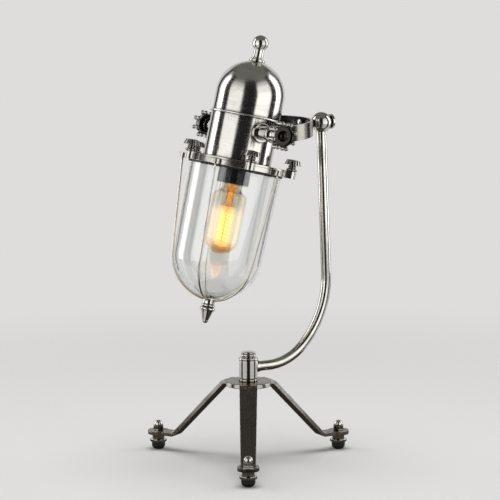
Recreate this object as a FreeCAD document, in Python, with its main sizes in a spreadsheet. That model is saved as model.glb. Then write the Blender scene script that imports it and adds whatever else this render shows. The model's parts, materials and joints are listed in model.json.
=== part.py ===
import FreeCAD, Part
import math
import os
from types import SimpleNamespace

import Sketcher

# Tabletop searchlight lamp, in millimetres. A head with a metal cap, a glass dome and a wire cage
# hangs in a half-hoop yoke. The yoke rolls on the ball at the top of a bent arm, and the arm swivels
# on the post of a three-legged base. The lamp stands on the plane Z = 0, the arm lies along +X, and
# the origin is under the middle of the whole lamp's outline, so the post is a little to its -X side.
#
# Frames used below:
#   base  the post's axis is the local Z axis, and Z is the height above the table
#   ball  the origin is the ball's centre, X is the yoke's bolt and Z is the top of the arm
#   head  the origin is where the pivot axis crosses the head's own axis, and Z is that axis

SIZES = [
    ("post_x", -26.1, "X of the post's axis"),
    ("foot_circle", 141, "radius of the circle that the three feet stand on"),
    ("foot_count", 3, "legs and feet"),
    ("foot_pad", 14, "radius of the round end of a leg"),
    ("leg_thick", 5, "thickness of the leg strap"),
    ("leg_root_width", 24, "width of the leg strap at the plate"),
    ("leg_toe_width", 19, "width of the leg strap at its round end"),
    ("leg_crest", 34, "radius where the leg turns down"),
    ("leg_toe", 114, "radius where the leg turns level again"),
    ("leg_bend", 4, "inner radius of the two bends of a leg"),
    ("plate_radius", 30, "radius of the round plate that the legs are welded to"),
    ("plate_thick", 6, "thickness of that plate"),
    ("plate_top", 108, "height of the plate's top face"),
    ("rubber_radius", 9, "radius of a rubber foot"),
    ("rubber_flat", 3, "radius of the flat that a rubber foot stands on"),
    ("rubber_height", 10.5, "height of a rubber foot"),
    ("rubber_socket", 4, "height of the bottom of the stud's socket in the rubber"),
    ("foot_flange_radius", 11.25, "radius of the flange over a rubber foot"),
    ("foot_flange_height", 4, "height of that flange"),
    ("spacer_radius", 8, "radius of the spacer under a leg"),
    ("spacer_height", 6.5, "height of that spacer"),
    ("bolt_radius", 4, "radius of the M8 studs and bolts"),
    ("acorn_flats", 13, "width across flats of an M8 acorn nut"),
    ("acorn_hex", 6.5, "height of an acorn nut's hexagon"),
    ("acorn_neck", 1.3, "height of the round step under its dome"),
    ("shaft_play", 0.05, "play all round a shaft, bolt or stud in its hole"),
    ("turn_gap", 0.1, "gap between two flat faces that turn on each other"),
    ("edge", 0.8, "rounding of turned edges"),
    ("post_radius", 7, "radius of the post"),
    ("post_nut_flats", 22, "width across flats of the nut under the plate"),
    ("post_nut_height", 8, "height of that nut"),
    ("post_tail", 2, "how far the post stands out under its nut"),
    ("hub_radius", 12.3, "radius of the collar and the swivel sleeve"),
    ("collar_height", 3, "height of the collar on the plate"),
    ("washer_height", 1, "height of the sliding washer"),
    ("sleeve_height", 24.3, "height of the swivel sleeve"),
    ("arm_rise", 14.2, "height of the arm's axis above the foot of the sleeve"),
    ("boss_radius", 8, "radius of the sleeve's boss for the arm"),
    ("boss_reach", 14.8, "reach of that boss from the post's axis"),
    ("post_cap_radius", 13, "radius of the post cap's lowest ring"),
    ("post_cap_neck", 8.5, "radius of the post cap between its rings"),
    ("post_cap_ring", 10.25, "radius of the post cap's middle ring"),
    ("post_cap_top", 9.5, "radius of the post cap's top disc"),
    ("post_cap_height", 12, "height of the post cap"),
    ("post_socket", 6, "depth of the post's socket in the cap"),
    ("tube_radius", 6.8, "outer radius of the arm tube"),
    ("tube_wall", 1.5, "wall of the arm tube"),
    ("arm_start", 30.7, "distance from the post's axis to the first bend"),
    ("bend_low", 74.2, "radius of the lower part of the arm's bend"),
    ("bend_high", 126.7, "radius of the upper part of the arm's bend"),
    ("bend_split", 45, "angle of the lower part of the bend, in degrees"),
    ("arm_lean", 2.45, "lean of the upright part of the arm, in degrees"),
    ("arm_straight", 202.6, "from the end of the bend to the ball's centre"),
    ("ball_radius", 14, "radius of the ball"),
    ("ball_flat", 13, "distance of the ball's two flats from its centre"),
    ("ball_neck", 15.5, "distance of the end of the ball's neck from its centre"),
    ("neck_wall", 0.6, "how far the neck stands out round the arm tube"),
    ("yoke_reach", 119.3, "from the ball's centre to the pivot axis"),
    ("hoop_radius", 90.5, "outer radius of the yoke's half hoop"),
    ("strap_thick", 3, "thickness of the yoke strap"),
    ("strap_width", 20, "width of the yoke strap"),
    ("stem_radius", 7.5, "radius of the stem at the strap"),
    ("stem_tip", 5, "radius of the stem at the ball"),
    ("bolt_head_radius", 7, "radius of the yoke bolt's round head"),
    ("bolt_head_height", 4.5, "height of that head"),
    ("yoke_cap_radius", 10, "radius of the round nut on the yoke bolt"),
    ("yoke_cap_height", 3.8, "height of that nut"),
    ("bolt_entry", 2, "depth of the yoke bolt in that nut"),
    ("head_tilt", 13.1, "tilt of the head from upright at rest, in degrees"),
    ("cap_radius", 45, "outer radius of the cap"),
    ("cap_wall", 1.5, "wall of the cap"),
    ("cap_below", 40.5, "from the pivot axis down to the foot of the barrel"),
    ("band_above", 18.7, "from the pivot axis up to the joint of barrel and dome"),
    ("dome_above", 46.2, "from the pivot axis up to the centre of the dome's curve"),
    ("band_proud", 2.3, "how far the band stands out from the cap"),
    ("band_height", 2.6, "height of the band"),
    ("finial_base", 10.35, "radius of the top finial's base"),
    ("finial_tier", 8.6, "radius of the step on that base"),
    ("finial_base_height", 4, "height of base and step above the dome's top"),
    ("finial_neck", 6.9, "radius of the finial's neck"),
    ("finial_ball", 10.65, "radius of the finial's ball"),
    ("finial_reach", 114.7, "from the pivot axis to the centre of that ball"),
    ("nipple_radius", 5, "outer radius of the threaded tube that carries the bulb holder"),
    ("nipple_bore", 3.5, "radius of that tube's bore"),
    ("nipple_top", 103, "from the pivot axis up to the top of that tube"),
    ("nipple_nut_flats", 15, "width across flats of the nut under the dome"),
    ("nipple_nut_height", 4, "height of that nut"),
    ("flange_radius", 66.5, "outer radius of the cap's flange and of the cage ring"),
    ("flange_thick", 3, "thickness of the cap's flange"),
    ("ring_height", 6.5, "height of the cage ring"),
    ("screw_count", 5, "thumb screws, and as many cage wires between them"),
    ("screw_circle", 72, "radius of the circle of thumb screws"),
    ("screw_phase", 38, "angle of the first thumb screw, in degrees"),
    ("lug_radius", 6.5, "radius of the lugs under the thumb screws"),
    ("screw_radius", 2.5, "radius of a thumb screw's thread"),
    ("screw_bite", 6, "depth of a thumb screw in the cage ring"),
    ("screw_foot", 7.2, "radius of a thumb screw's foot"),
    ("screw_foot_height", 3.6, "height of that foot"),
    ("screw_neck", 4.6, "radius of a thumb screw's neck"),
    ("screw_ring", 5.4, "radius of the ring on that neck"),
    ("screw_neck_height", 4.6, "height of that neck"),
    ("screw_skirt", 11, "radius of a thumb screw's head at its lower edge"),
    ("screw_crown", 8.6, "radius of the head at its upper edge"),
    ("screw_head_height", 6.4, "height of the head's fluted side"),
    ("screw_top_height", 1.2, "height of the domed top"),
    ("flute_count", 14, "flutes round a thumb screw"),
    ("flute_radius", 1.1, "radius of a flute"),
    ("wire_radius", 1.5, "radius of a cage wire"),
    ("wire_circle", 70.7, "radius of the circle that the wires start on"),
    ("wire_tab", 5, "radius of the tabs that hold the wires"),
    ("wire_inset", 0.5, "how far a wire's end lies under its tab's top face"),
    ("wire_drop", 1.8, "straight end of a wire under its tab"),
    ("wire_bend", 30, "radius of the bend under that end"),
    ("wire_gap", 0.5, "gap between a wire and the glass"),
    ("glass_mouth", 60, "outer radius of the glass dome at the cage ring"),
    ("glass_dome", 57.8, "outer radius of the glass dome's round end"),
    ("glass_deep", 165.4, "from the pivot axis down to the centre of that round end"),
    ("glass_wall", 3, "wall of the glass dome"),
    ("glass_lip", 62, "outer radius of the glass dome's lip"),
    ("lip_height", 2.4, "height of that lip"),
    ("ledge_height", 1.6, "height of the cage ring's ledge under the lip"),
    ("seal_gap", 0.3, "gap round the glass in its ring"),
    ("seal_width", 5.5, "width of the rubber gasket over the lip"),
    ("bezel_radius", 62, "outer radius of the rubber ring under the cage ring"),
    ("bezel_height", 2.5, "height of that rubber ring"),
    ("cage_stud_radius", 8, "radius of the cage finial's collar"),
    ("cage_stud_height", 6.3, "height of that collar"),
    ("cage_ring_small", 9, "radius of the cage finial's upper ring"),
    ("cage_ring_large", 10.25, "radius of its lower ring"),
    ("cage_tip_radius", 4, "radius of its rounded tip"),
    ("cage_tip_length", 17, "length of its taper and tip"),
    ("holder_radius", 21, "outer radius of the bulb holder"),
    ("holder_above", 20, "from the pivot axis down to the holder's top"),
    ("holder_below", 71.3, "from the pivot axis down to the holder's mouth"),
    ("holder_socket", 10, "depth of the threaded tube's hole in the holder"),
    ("holder_round", 4, "rounding of the holder's shoulder"),
    ("base_radius", 13, "radius of the bulb's E27 base"),
    ("base_height", 25, "height of that base"),
    ("base_gap", 0.4, "gap round the base in the holder"),
    ("bulb_radius", 22.5, "radius of the T45 tubular bulb"),
    ("bulb_below", 163.8, "from the pivot axis down to the bulb's end"),
    ("bulb_wall", 1.2, "wall of the bulb's glass"),
    ("shoulder_height", 14, "height of the bulb's shoulder"),
    ("bulb_neck", 4, "height of the bulb's straight neck"),
    ("stem_flare", 10, "radius of the glass stem where it is sealed to the bulb"),
    ("stem_body", 4, "radius of the glass stem's body"),
    ("stem_below", 101, "from the pivot axis down to the end of the stem's body"),
    ("stem_disc", 9.4, "radius of the filament's support disc"),
    ("rod_radius", 0.8, "radius of the support rod inside the filament"),
    ("rod_below", 156, "from the pivot axis down to the rod's end"),
    ("coil_radius", 8.3, "radius of the filament's coil"),
    ("coil_wire", 0.6, "radius of the filament's wire"),
    ("coil_pitch", 4.9, "pitch of the coil"),
    ("coil_turns", 10, "turns of the coil at that pitch"),
    ("coil_last_pitch", 1.9, "pitch of its last turn"),
    ("saddle_depth", 3, "how deep the saddle of a boss or gland is cut round the cap"),
    ("pad_radius", 12.5, "radius of a pivot boss where it sits on the cap"),
    ("pad_height", 4, "height of that foot of the boss"),
    ("shank_radius", 8.8, "radius of a pivot boss's shank"),
    ("shank_end", 67, "from the head's axis to the boss's first ring"),
    ("boss_ring_small", 10, "radius of that ring"),
    ("boss_ring_large", 11, "radius of the boss's second ring"),
    ("boss_tail", 7.5, "radius of the boss at the yoke"),
    ("pivot_head_radius", 7, "radius of the pivot stud's head inside the cap"),
    ("pivot_head_height", 3.5, "height of that head"),
    ("pivot_washer_radius", 9, "radius of the washer between yoke and handwheel"),
    ("wheel_hub", 7, "radius of a handwheel's hub"),
    ("wheel_rim", 14, "radius of a handwheel's rim"),
    ("wheel_back", 94.5, "from the head's axis to the back of the rim"),
    ("wheel_front", 103.5, "from the head's axis to the front of the rim"),
    ("wheel_tip", 108, "from the head's axis to the tip of the handwheel"),
    ("wheel_dish", 2.5, "depth of the dish in the handwheel's face"),
    ("knob_circle", 16.2, "radius of the circle of knobs round a handwheel"),
    ("knob_count", 8, "knobs round a handwheel"),
    ("knob_radius", 2.9, "radius of the balls at both ends of a knob"),
    ("knob_waist", 2, "radius of a knob between its balls"),
    ("knob_back", 94.8, "from the head's axis to a knob's inner ball"),
    ("knob_front", 104, "from the head's axis to its outer ball"),
    ("stud_entry", 12, "depth of the pivot stud in the handwheel"),
    ("gland_angle", 60, "angle of the cable gland round the head, in degrees"),
    ("gland_drop", 20, "from the pivot axis down to the gland"),
    ("gland_radius", 8, "radius of the gland's foot"),
    ("gland_height", 10, "height of the gland"),
    ("gland_bore", 3.2, "radius of the gland's bore"),
]

LEFT = 1
RIGHT = -1
ROUND_ANGLE = 360

doc = FreeCAD.newDocument("SearchlightLamp")
sheet = doc.addObject("Spreadsheet::Sheet", "Sizes")
for line_number, (alias, amount, note) in enumerate(SIZES, start=1):
    sheet.set(f"A{line_number}", alias)
    sheet.set(f"B{line_number}", str(amount))
    sheet.setAlias(f"B{line_number}", alias)
    sheet.set(f"C{line_number}", note)
doc.recompute()


class Size:
    """A length or an angle: its value now, and the formula that ties it to the sheet."""

    def __init__(self, value, formula):
        self.value = float(value)
        self.formula = formula

    def __add__(self, other):
        other = as_size(other)
        return Size(self.value + other.value, f"({self.formula} + {other.formula})")

    def __sub__(self, other):
        other = as_size(other)
        return Size(self.value - other.value, f"({self.formula} - {other.formula})")

    def __mul__(self, other):
        other = as_size(other)
        return Size(self.value * other.value, f"({self.formula} * {other.formula})")

    def __truediv__(self, other):
        other = as_size(other)
        return Size(self.value / other.value, f"({self.formula} / {other.formula})")

    def __neg__(self):
        return Size(-self.value, f"(0 - {self.formula})")

    def __radd__(self, other):
        return as_size(other) + self

    def __rsub__(self, other):
        return as_size(other) - self

    def __rmul__(self, other):
        return as_size(other) * self


def as_size(value):
    """A plain number as a Size, so that it can stand in a formula."""
    if isinstance(value, Size):
        return value
    return Size(value, f"({value})")


def sine(angle):
    return Size(math.sin(math.radians(angle.value)), f"sin({angle.formula} * 1 deg)")


def cosine(angle):
    return Size(math.cos(math.radians(angle.value)), f"cos({angle.formula} * 1 deg)")


def tangent(angle):
    return Size(math.tan(math.radians(angle.value)), f"tan({angle.formula} * 1 deg)")


def arc_tangent(ratio):
    return Size(math.degrees(math.atan(ratio.value)), f"(atan({ratio.formula}) / 1 deg)")


def arc_cosine(ratio):
    return Size(math.degrees(math.acos(ratio.value)), f"(acos({ratio.formula}) / 1 deg)")


def root(square):
    return Size(math.sqrt(square.value), f"sqrt({square.formula})")


def chord_height(radius, offset):
    """Height of a circle's curve above its centre, at an offset from it."""
    return root(radius * radius - offset * offset)


def dome_radius(half_width, height):
    """Radius of a shallow dome from its half width and its height."""
    return (half_width * half_width + height * height) / (2 * height)


S = SimpleNamespace(**{alias: Size(amount, f"Sizes.{alias}") for alias, amount, note in SIZES})


# Outlines. Each corner is given by at, or by the arc that arrives there: round_to turns left, which
# bulges out of an outline that runs anticlockwise, and hollow_to turns right.


def at(x, y):
    return SimpleNamespace(x=as_size(x), y=as_size(y), radius=None, turn=None)


def round_to(x, y, radius):
    return SimpleNamespace(x=as_size(x), y=as_size(y), radius=as_size(radius), turn=LEFT)


def hollow_to(x, y, radius):
    return SimpleNamespace(x=as_size(x), y=as_size(y), radius=as_size(radius), turn=RIGHT)


def bead(radius, low, high):
    """A half-round ring on an outline that climbs from low to high."""
    half = (high - low) / 2
    return [at(radius - half, low), round_to(radius, low + half, half), round_to(radius - half, high, half)]


def ring(inner, outer, low, high, edge):
    """Section of a plain ring whose two outer edges are rounded."""
    return [
        at(inner, low),
        at(outer - edge, low),
        round_to(outer, low + edge, edge),
        at(outer, high - edge),
        round_to(outer - edge, high, edge),
        at(inner, high),
    ]


def rectangle(left, low, right, high):
    return [at(left, low), at(right, low), at(right, high), at(left, high)]


def hexagon(flats):
    """Six corners at the given width across flats."""
    corner = flats / math.sqrt(3)
    half = corner / 2
    return [
        at(corner, 0),
        at(half, flats / 2),
        at(-half, flats / 2),
        at(-corner, 0),
        at(-half, -(flats / 2)),
        at(half, -(flats / 2)),
    ]


def arc_centre(start, end, radius, turn):
    """Centre of the arc of under a half turn that leaves start and reaches end."""
    dx = end[0] - start[0]
    dy = end[1] - start[1]
    chord = math.hypot(dx, dy)
    away = math.sqrt(max(radius**2 - chord**2 / 4, 0))
    x = (start[0] + end[0]) / 2 - turn * away * dy / chord
    y = (start[1] + end[1]) / 2 + turn * away * dx / chord
    return x, y


def edge_between(start, corner):
    """The edge that arrives at a corner, with the numbers of its own start and end points."""
    first = (start.x.value, start.y.value)
    last = (corner.x.value, corner.y.value)
    if corner.radius is None:
        return Part.LineSegment(FreeCAD.Vector(*first, 0), FreeCAD.Vector(*last, 0)), 1, 2
    centre = arc_centre(first, last, corner.radius.value, corner.turn)
    circle = Part.Circle(FreeCAD.Vector(*centre, 0), FreeCAD.Vector(0, 0, 1), corner.radius.value)
    if corner.turn == RIGHT:
        first, last = last, first
    begin = math.atan2(first[1] - centre[1], first[0] - centre[0])
    finish = math.atan2(last[1] - centre[1], last[0] - centre[0])
    if finish < begin:
        finish += 2 * math.pi
    arc = Part.ArcOfCircle(circle, begin, finish)
    return (arc, 2, 1) if corner.turn == RIGHT else (arc, 1, 2)


class Drawing:
    """A sketch whose every point and radius is tied to the sheet."""

    def __init__(self, body, role, offset=None):
        self.sketch = body.newObject("Sketcher::SketchObject", body.Label + "_sketch")
        self.sketch.AttachmentSupport = [(origin_feature(body, role), "")]
        self.sketch.MapMode = "FlatFace"
        if offset is not None:
            self.sketch.setExpression("AttachmentOffset", offset)

    def tie(self, constraints, formulas):
        numbers = self.sketch.addConstraint(constraints)
        for number, formula in zip(numbers, formulas):
            if formula is not None:
                self.sketch.setExpression(f"Constraints[{number}]", formula)

    def pin(self, edge, point, x, y):
        """Constraints that hold a point at x, y, and their formulas."""
        constraints = []
        formulas = []
        for kind, axis, amount in (("DistanceX", -2, x), ("DistanceY", -1, y)):
            if amount.value == 0:
                constraints.append(Sketcher.Constraint("PointOnObject", edge, point, axis))
                formulas.append(None)
            else:
                constraints.append(Sketcher.Constraint(kind, -1, 1, edge, point, amount.value))
                formulas.append(amount.formula)
        return constraints, formulas

    def path(self, corners, closed=True):
        """Draws an outline, or an open path, through the corners."""
        first = 0 if closed else 1
        made = []
        for index in range(first, len(corners)):
            edge, start, end = edge_between(corners[index - 1], corners[index])
            made.append((self.sketch.addGeometry(edge), start, end, corners[index]))
        constraints = []
        formulas = []
        if not closed:
            more = self.pin(made[0][0], made[0][1], corners[0].x, corners[0].y)
            constraints += more[0]
            formulas += more[1]
        for index, (edge, start, end, corner) in enumerate(made):
            more = self.pin(edge, end, corner.x, corner.y)
            constraints += more[0]
            formulas += more[1]
            if corner.radius is not None:
                constraints.append(Sketcher.Constraint("Radius", edge, corner.radius.value))
                formulas.append(corner.radius.formula)
            if closed or index + 1 < len(made):
                following = made[(index + 1) % len(made)]
                constraints.append(Sketcher.Constraint("Coincident", edge, end, following[0], following[1]))
                formulas.append(None)
        self.tie(constraints, formulas)
        return self

    def circle(self, x, y, radius):
        """Draws a whole circle."""
        x = as_size(x)
        y = as_size(y)
        centre = FreeCAD.Vector(x.value, y.value, 0)
        edge = self.sketch.addGeometry(Part.Circle(centre, FreeCAD.Vector(0, 0, 1), radius.value))
        constraints, formulas = self.pin(edge, 3, x, y)
        constraints.append(Sketcher.Constraint("Radius", edge, radius.value))
        formulas.append(radius.formula)
        self.tie(constraints, formulas)
        return self


def origin_feature(body, role):
    """The body's own origin plane or axis of that role."""
    for feature in body.Origin.OriginFeatures:
        if feature.Role == role:
            return feature
    raise KeyError(role)


def new_body(label):
    body = doc.addObject("PartDesign::Body", label)
    body.Label = label
    return body


def pad(body, drawing, length, both_ways=False):
    """Extrudes a drawing along its plane's normal, or by half the length to each side."""
    feature = body.newObject("PartDesign::Pad", body.Label + "_pad")
    feature.Profile = drawing.sketch
    feature.SideType = "Symmetric" if both_ways else "One side"
    feature.Length = length.value
    feature.setExpression("Length", length.formula)
    return feature


def cut_through(body, drawing):
    """Cuts a drawing through the whole body, to both sides of its plane."""
    feature = body.newObject("PartDesign::Pocket", body.Label + "_cut")
    feature.Profile = drawing.sketch
    feature.SideType = "Symmetric"
    feature.Type = "ThroughAll"
    return feature


def cut_depth(body, drawing, depth, both_ways=False, forward=False):
    """Cuts a drawing to a depth: to both sides, along the plane's normal, or against it."""
    feature = body.newObject("PartDesign::Pocket", body.Label + "_cut")
    feature.Profile = drawing.sketch
    feature.SideType = "Symmetric" if both_ways else "One side"
    feature.Reversed = forward
    feature.Length = depth.value
    feature.setExpression("Length", depth.formula)
    return feature


def revolve(body, outline, aside=None):
    """Turns an outline of radius and height round Z, or round a parallel axis that is aside along X."""
    offset = None if aside is None else move(aside, 0, 0)
    drawing = Drawing(body, "XZ_Plane", offset).path(outline)
    feature = body.newObject("PartDesign::Revolution", body.Label + "_turn")
    feature.Profile = drawing.sketch
    feature.ReferenceAxis = (drawing.sketch, ["V_Axis"])
    feature.Angle = ROUND_ANGLE
    return feature


def around(body, features, count):
    """Repeats features evenly round the body's Z axis."""
    pattern = body.newObject("PartDesign::PolarPattern", body.Label + "_around")
    pattern.Originals = features
    pattern.Axis = (origin_feature(body, "Z_Axis"), [""])
    pattern.Angle = ROUND_ANGLE
    pattern.Occurrences = round(count.value)
    pattern.setExpression("Occurrences", count.formula)
    body.Tip = pattern
    return pattern


def turned(label, outline):
    """A piece turned on a lathe."""
    body = new_body(label)
    revolve(body, outline)
    return body


def swept(label, path, profile_role, profile_offset, radii, centre):
    """A round bar or tube along a path in the body's XZ plane."""
    body = new_body(label)
    spine = Drawing(body, "XZ_Plane").path(path, closed=False)
    section = Drawing(body, profile_role, profile_offset)
    for radius in radii:
        section.circle(centre[0], centre[1], radius)
    pipe = body.newObject("PartDesign::AdditivePipe", label + "_pipe")
    pipe.Profile = section.sketch
    pipe.Spine = spine.sketch
    body.Tip = pipe
    return body


# Places. Each is a formula of a turn about one axis after a move.


def move(x, y, z, axis="0; 0; 1", angle=0):
    x = as_size(x)
    y = as_size(y)
    z = as_size(z)
    angle = as_size(angle)
    base = f"vector({x.formula}; {y.formula}; {z.formula})"
    return f"placement({base}; rotation(vector({axis}); {angle.formula} * 1 deg))"


def place(body, *steps):
    body.setExpression("Placement", " * ".join(steps))


ABOUT_X = "1; 0; 0"
ABOUT_Y = "0; 1; 0"
ABOUT_Z = "0; 0; 1"
QUARTER = 90
HALF_PITCH = 180

collar_top = S.plate_top + S.collar_height
washer_top = collar_top + S.washer_height
sleeve_low = washer_top + S.turn_gap
sleeve_top = sleeve_low + S.sleeve_height
arm_height = sleeve_low + S.arm_rise
plate_low = S.plate_top - S.plate_thick
pad_low = S.rubber_height + S.foot_flange_height + S.spacer_height
bolt_bore = S.bolt_radius + S.shaft_play
post_bore = S.post_radius + S.shaft_play

low_end_x = S.arm_start + S.bend_low * sine(S.bend_split)
low_end_z = arm_height + S.bend_low * (1 - cosine(S.bend_split))
bend_end_x = low_end_x + S.bend_high * (cosine(S.arm_lean) - sine(S.bend_split))
bend_end_z = low_end_z + S.bend_high * (cosine(S.bend_split) + sine(S.arm_lean))
ball_x = bend_end_x - S.arm_straight * sine(S.arm_lean)
ball_z = bend_end_z + S.arm_straight * cosine(S.arm_lean)
pivot_x = S.post_x + ball_x - S.yoke_reach * cosine(S.arm_lean)
pivot_z = ball_z - S.yoke_reach * sine(S.arm_lean)

BASE = move(S.post_x, 0, 0)
BALL = move(S.post_x + ball_x, 0, ball_z, ABOUT_Y, -S.arm_lean)
HEAD = move(pivot_x, 0, pivot_z, ABOUT_Y, S.head_tilt)
NEAR = move(0, 0, 0, ABOUT_X, QUARTER)
FAR = move(0, 0, 0, ABOUT_X, -QUARTER)
SIDES = (("near", NEAR), ("far", FAR))


# The base


def make_plate():
    """The round plate in the middle of the tripod."""
    body = turned("tripod_plate", ring(post_bore, S.plate_radius, plate_low, S.plate_top, S.edge))
    place(body, BASE)


def leg_side():
    """Side view of a leg: level at the plate, down, and level again at the foot, with bent corners."""
    drop = S.plate_top - pad_low - S.leg_thick
    slope = arc_tangent(drop / (S.leg_toe - S.leg_crest))
    half = tangent(slope / 2)
    down_x = cosine(slope)
    down_z = sine(slope)
    inner = S.leg_bend
    outer = S.leg_bend + S.leg_thick
    shift = S.leg_thick * half
    under_crest = S.leg_crest - shift
    under_toe = S.leg_toe - shift
    root_x = chord_height(S.plate_radius, S.leg_root_width / 2)
    crest_low = S.plate_top - S.leg_thick
    pad_top = pad_low + S.leg_thick
    tip = S.foot_circle + S.foot_pad
    reach_in = inner * half
    reach_out = outer * half
    return [
        at(root_x, crest_low),
        at(under_crest - reach_in, crest_low),
        hollow_to(under_crest + reach_in * down_x, crest_low - reach_in * down_z, inner),
        at(under_toe - reach_out * down_x, pad_low + reach_out * down_z),
        round_to(under_toe + reach_out, pad_low, outer),
        at(tip, pad_low),
        at(tip, pad_top),
        at(S.leg_toe + reach_in, pad_top),
        hollow_to(S.leg_toe - reach_in * down_x, pad_top + reach_in * down_z, inner),
        at(S.leg_crest + reach_out * down_x, S.plate_top - reach_out * down_z),
        round_to(S.leg_crest - reach_out, S.plate_top, outer),
        at(root_x, S.plate_top),
    ]


def leg_plan():
    """Plan of a leg: a hollow end that fits the plate's rim, a taper, and a round pad."""
    root_half = S.leg_root_width / 2
    toe_half = S.leg_toe_width / 2
    root_x = chord_height(S.plate_radius, root_half)
    toe_x = S.foot_circle - chord_height(S.foot_pad, toe_half)
    return [
        hollow_to(root_x, -root_half, S.plate_radius),
        at(toe_x, -toe_half),
        round_to(S.foot_circle + S.foot_pad, 0, S.foot_pad),
        round_to(toe_x, toe_half, S.foot_pad),
        at(root_x, root_half),
    ]


def make_leg(number):
    """A bent strap leg. It is extruded from its side view and trimmed to its plan."""
    body = new_body(f"leg_{number}")
    pad(body, Drawing(body, "XZ_Plane").path(leg_side()), 2 * S.foot_pad + S.leg_thick, both_ways=True)
    far = S.foot_circle + 2 * S.foot_pad
    plan = Drawing(body, "XY_Plane")
    plan.path(rectangle(0, -(2 * S.foot_pad), far, 2 * S.foot_pad))
    plan.path(leg_plan())
    plan.circle(S.foot_circle, 0, bolt_bore)
    cut_through(body, plan)
    place(body, BASE, leg_turn(number))


def leg_turn(number):
    """The turn of one leg round the post."""
    return move(0, 0, 0, ABOUT_Z, ROUND_ANGLE / S.foot_count.value * (number - 1))


def make_rubber_foot(number):
    """A rounded rubber foot with a socket for its stud."""
    curve = S.rubber_radius - S.rubber_flat
    body = new_body(f"rubber_foot_{number}")
    revolve(
        body,
        [
            at(0, 0),
            at(S.rubber_flat, 0),
            round_to(S.rubber_radius, curve, curve),
            at(S.rubber_radius, S.rubber_height),
            at(bolt_bore, S.rubber_height),
            at(bolt_bore, S.rubber_socket),
            at(0, S.rubber_socket),
        ],
        aside=S.foot_circle,
    )
    place(body, BASE, leg_turn(number))


def make_foot_set(label, outline):
    """The same turned piece at every foot."""
    body = new_body(label)
    around(body, [revolve(body, outline, aside=S.foot_circle)], S.foot_count)
    place(body, BASE)


def make_foot_stacks():
    """Flange, spacer and stud of each foot."""
    flange_top = S.rubber_height + S.foot_flange_height
    stud_top = pad_low + S.leg_thick + S.acorn_hex + S.acorn_neck
    make_foot_set("foot_flanges", ring(bolt_bore, S.foot_flange_radius, S.rubber_height, flange_top, S.edge))
    make_foot_set("foot_spacers", ring(bolt_bore, S.spacer_radius, flange_top, pad_low, S.edge))
    make_foot_set("foot_studs", ring(0, S.bolt_radius, S.rubber_socket, stud_top, S.edge / 2))


def make_acorn_nuts():
    """A domed nut on each foot's stud."""
    body = new_body("foot_acorn_nuts")
    low = pad_low + S.leg_thick
    hex_top = low + S.acorn_hex
    neck_top = hex_top + S.acorn_neck
    dome = S.acorn_flats / 2 - S.edge / 2
    hexes = Drawing(body, "XY_Plane", move(S.foot_circle, 0, low)).path(hexagon(S.acorn_flats))
    hexes.circle(0, 0, bolt_bore)
    hex_pad = pad(body, hexes, S.acorn_hex)
    cap = revolve(
        body,
        [
            at(bolt_bore, hex_top),
            at(dome, hex_top),
            at(dome, neck_top),
            round_to(0, neck_top + dome, dome),
            at(0, neck_top + S.edge),
            at(bolt_bore, neck_top + S.edge),
        ],
        aside=S.foot_circle,
    )
    around(body, [hex_pad, cap], S.foot_count)
    place(body, BASE)


def make_post():
    """The post, the nut under the plate, the collar and the sliding washer."""
    cap_low = sleeve_top + S.turn_gap
    low = plate_low - S.post_nut_height - S.post_tail
    post = turned("post", ring(0, S.post_radius, low, cap_low + S.post_socket - S.shaft_play, S.edge))
    collar = turned("post_collar", ring(post_bore, S.hub_radius, S.plate_top, collar_top, S.edge))
    washer_edge = S.washer_height / 4
    washer = turned("swivel_washer", ring(post_bore, S.hub_radius - S.edge, collar_top, washer_top, washer_edge))
    nut = new_body("post_nut")
    nut_low = plate_low - S.post_nut_height
    hexes = Drawing(nut, "XY_Plane", move(0, 0, nut_low)).path(hexagon(S.post_nut_flats))
    hexes.circle(0, 0, post_bore)
    pad(nut, hexes, S.post_nut_height)
    for body in (post, collar, washer, nut):
        place(body, BASE)


def make_post_cap():
    """The turned cap on top of the post."""
    low = sleeve_top + S.turn_gap
    tier = S.post_cap_height / 4
    groove = low + tier * 5 / 3
    ring_top = groove + tier
    disc_low = ring_top + tier / 3
    disc_top = disc_low + tier / 2
    top = low + S.post_cap_height
    body = turned(
        "post_cap",
        [
            at(post_bore, low),
            *bead(S.post_cap_radius, low, low + tier),
            at(S.post_cap_neck, low + tier),
            at(S.post_cap_neck, groove),
            *bead(S.post_cap_ring, groove, ring_top),
            at(S.post_cap_neck, ring_top),
            at(S.post_cap_neck, disc_low),
            at(S.post_cap_top, disc_low),
            at(S.post_cap_top, disc_top),
            round_to(0, top, dome_radius(S.post_cap_top, top - disc_top)),
            at(0, low + S.post_socket),
            at(post_bore, low + S.post_socket),
        ],
    )
    place(body, BASE)


# The arm


def make_sleeve():
    """The sleeve that turns on the post, with its boss for the arm tube."""
    body = turned("swivel_sleeve", ring(0, S.hub_radius, sleeve_low, sleeve_top, S.edge))
    boss = Drawing(body, "YZ_Plane").circle(0, arm_height, S.boss_radius)
    pad(body, boss, S.boss_reach)
    cut_through(body, Drawing(body, "XY_Plane").circle(0, 0, post_bore))
    place(body, BASE)


def make_arm_tube():
    """The bent tube: level, a bend of two radii, and a slightly leaning upright."""
    neck = S.arm_straight - S.ball_neck
    path = [
        at(S.boss_reach, arm_height),
        at(S.arm_start, arm_height),
        round_to(low_end_x, low_end_z, S.bend_low),
        round_to(bend_end_x, bend_end_z, S.bend_high),
        at(bend_end_x - neck * sine(S.arm_lean), bend_end_z + neck * cosine(S.arm_lean)),
    ]
    radii = (S.tube_radius, S.tube_radius - S.tube_wall)
    section_place = move(0, 0, S.boss_reach)
    body = swept("arm_tube", path, "YZ_Plane", section_place, radii, (0, arm_height))
    place(body, BASE)


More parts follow.
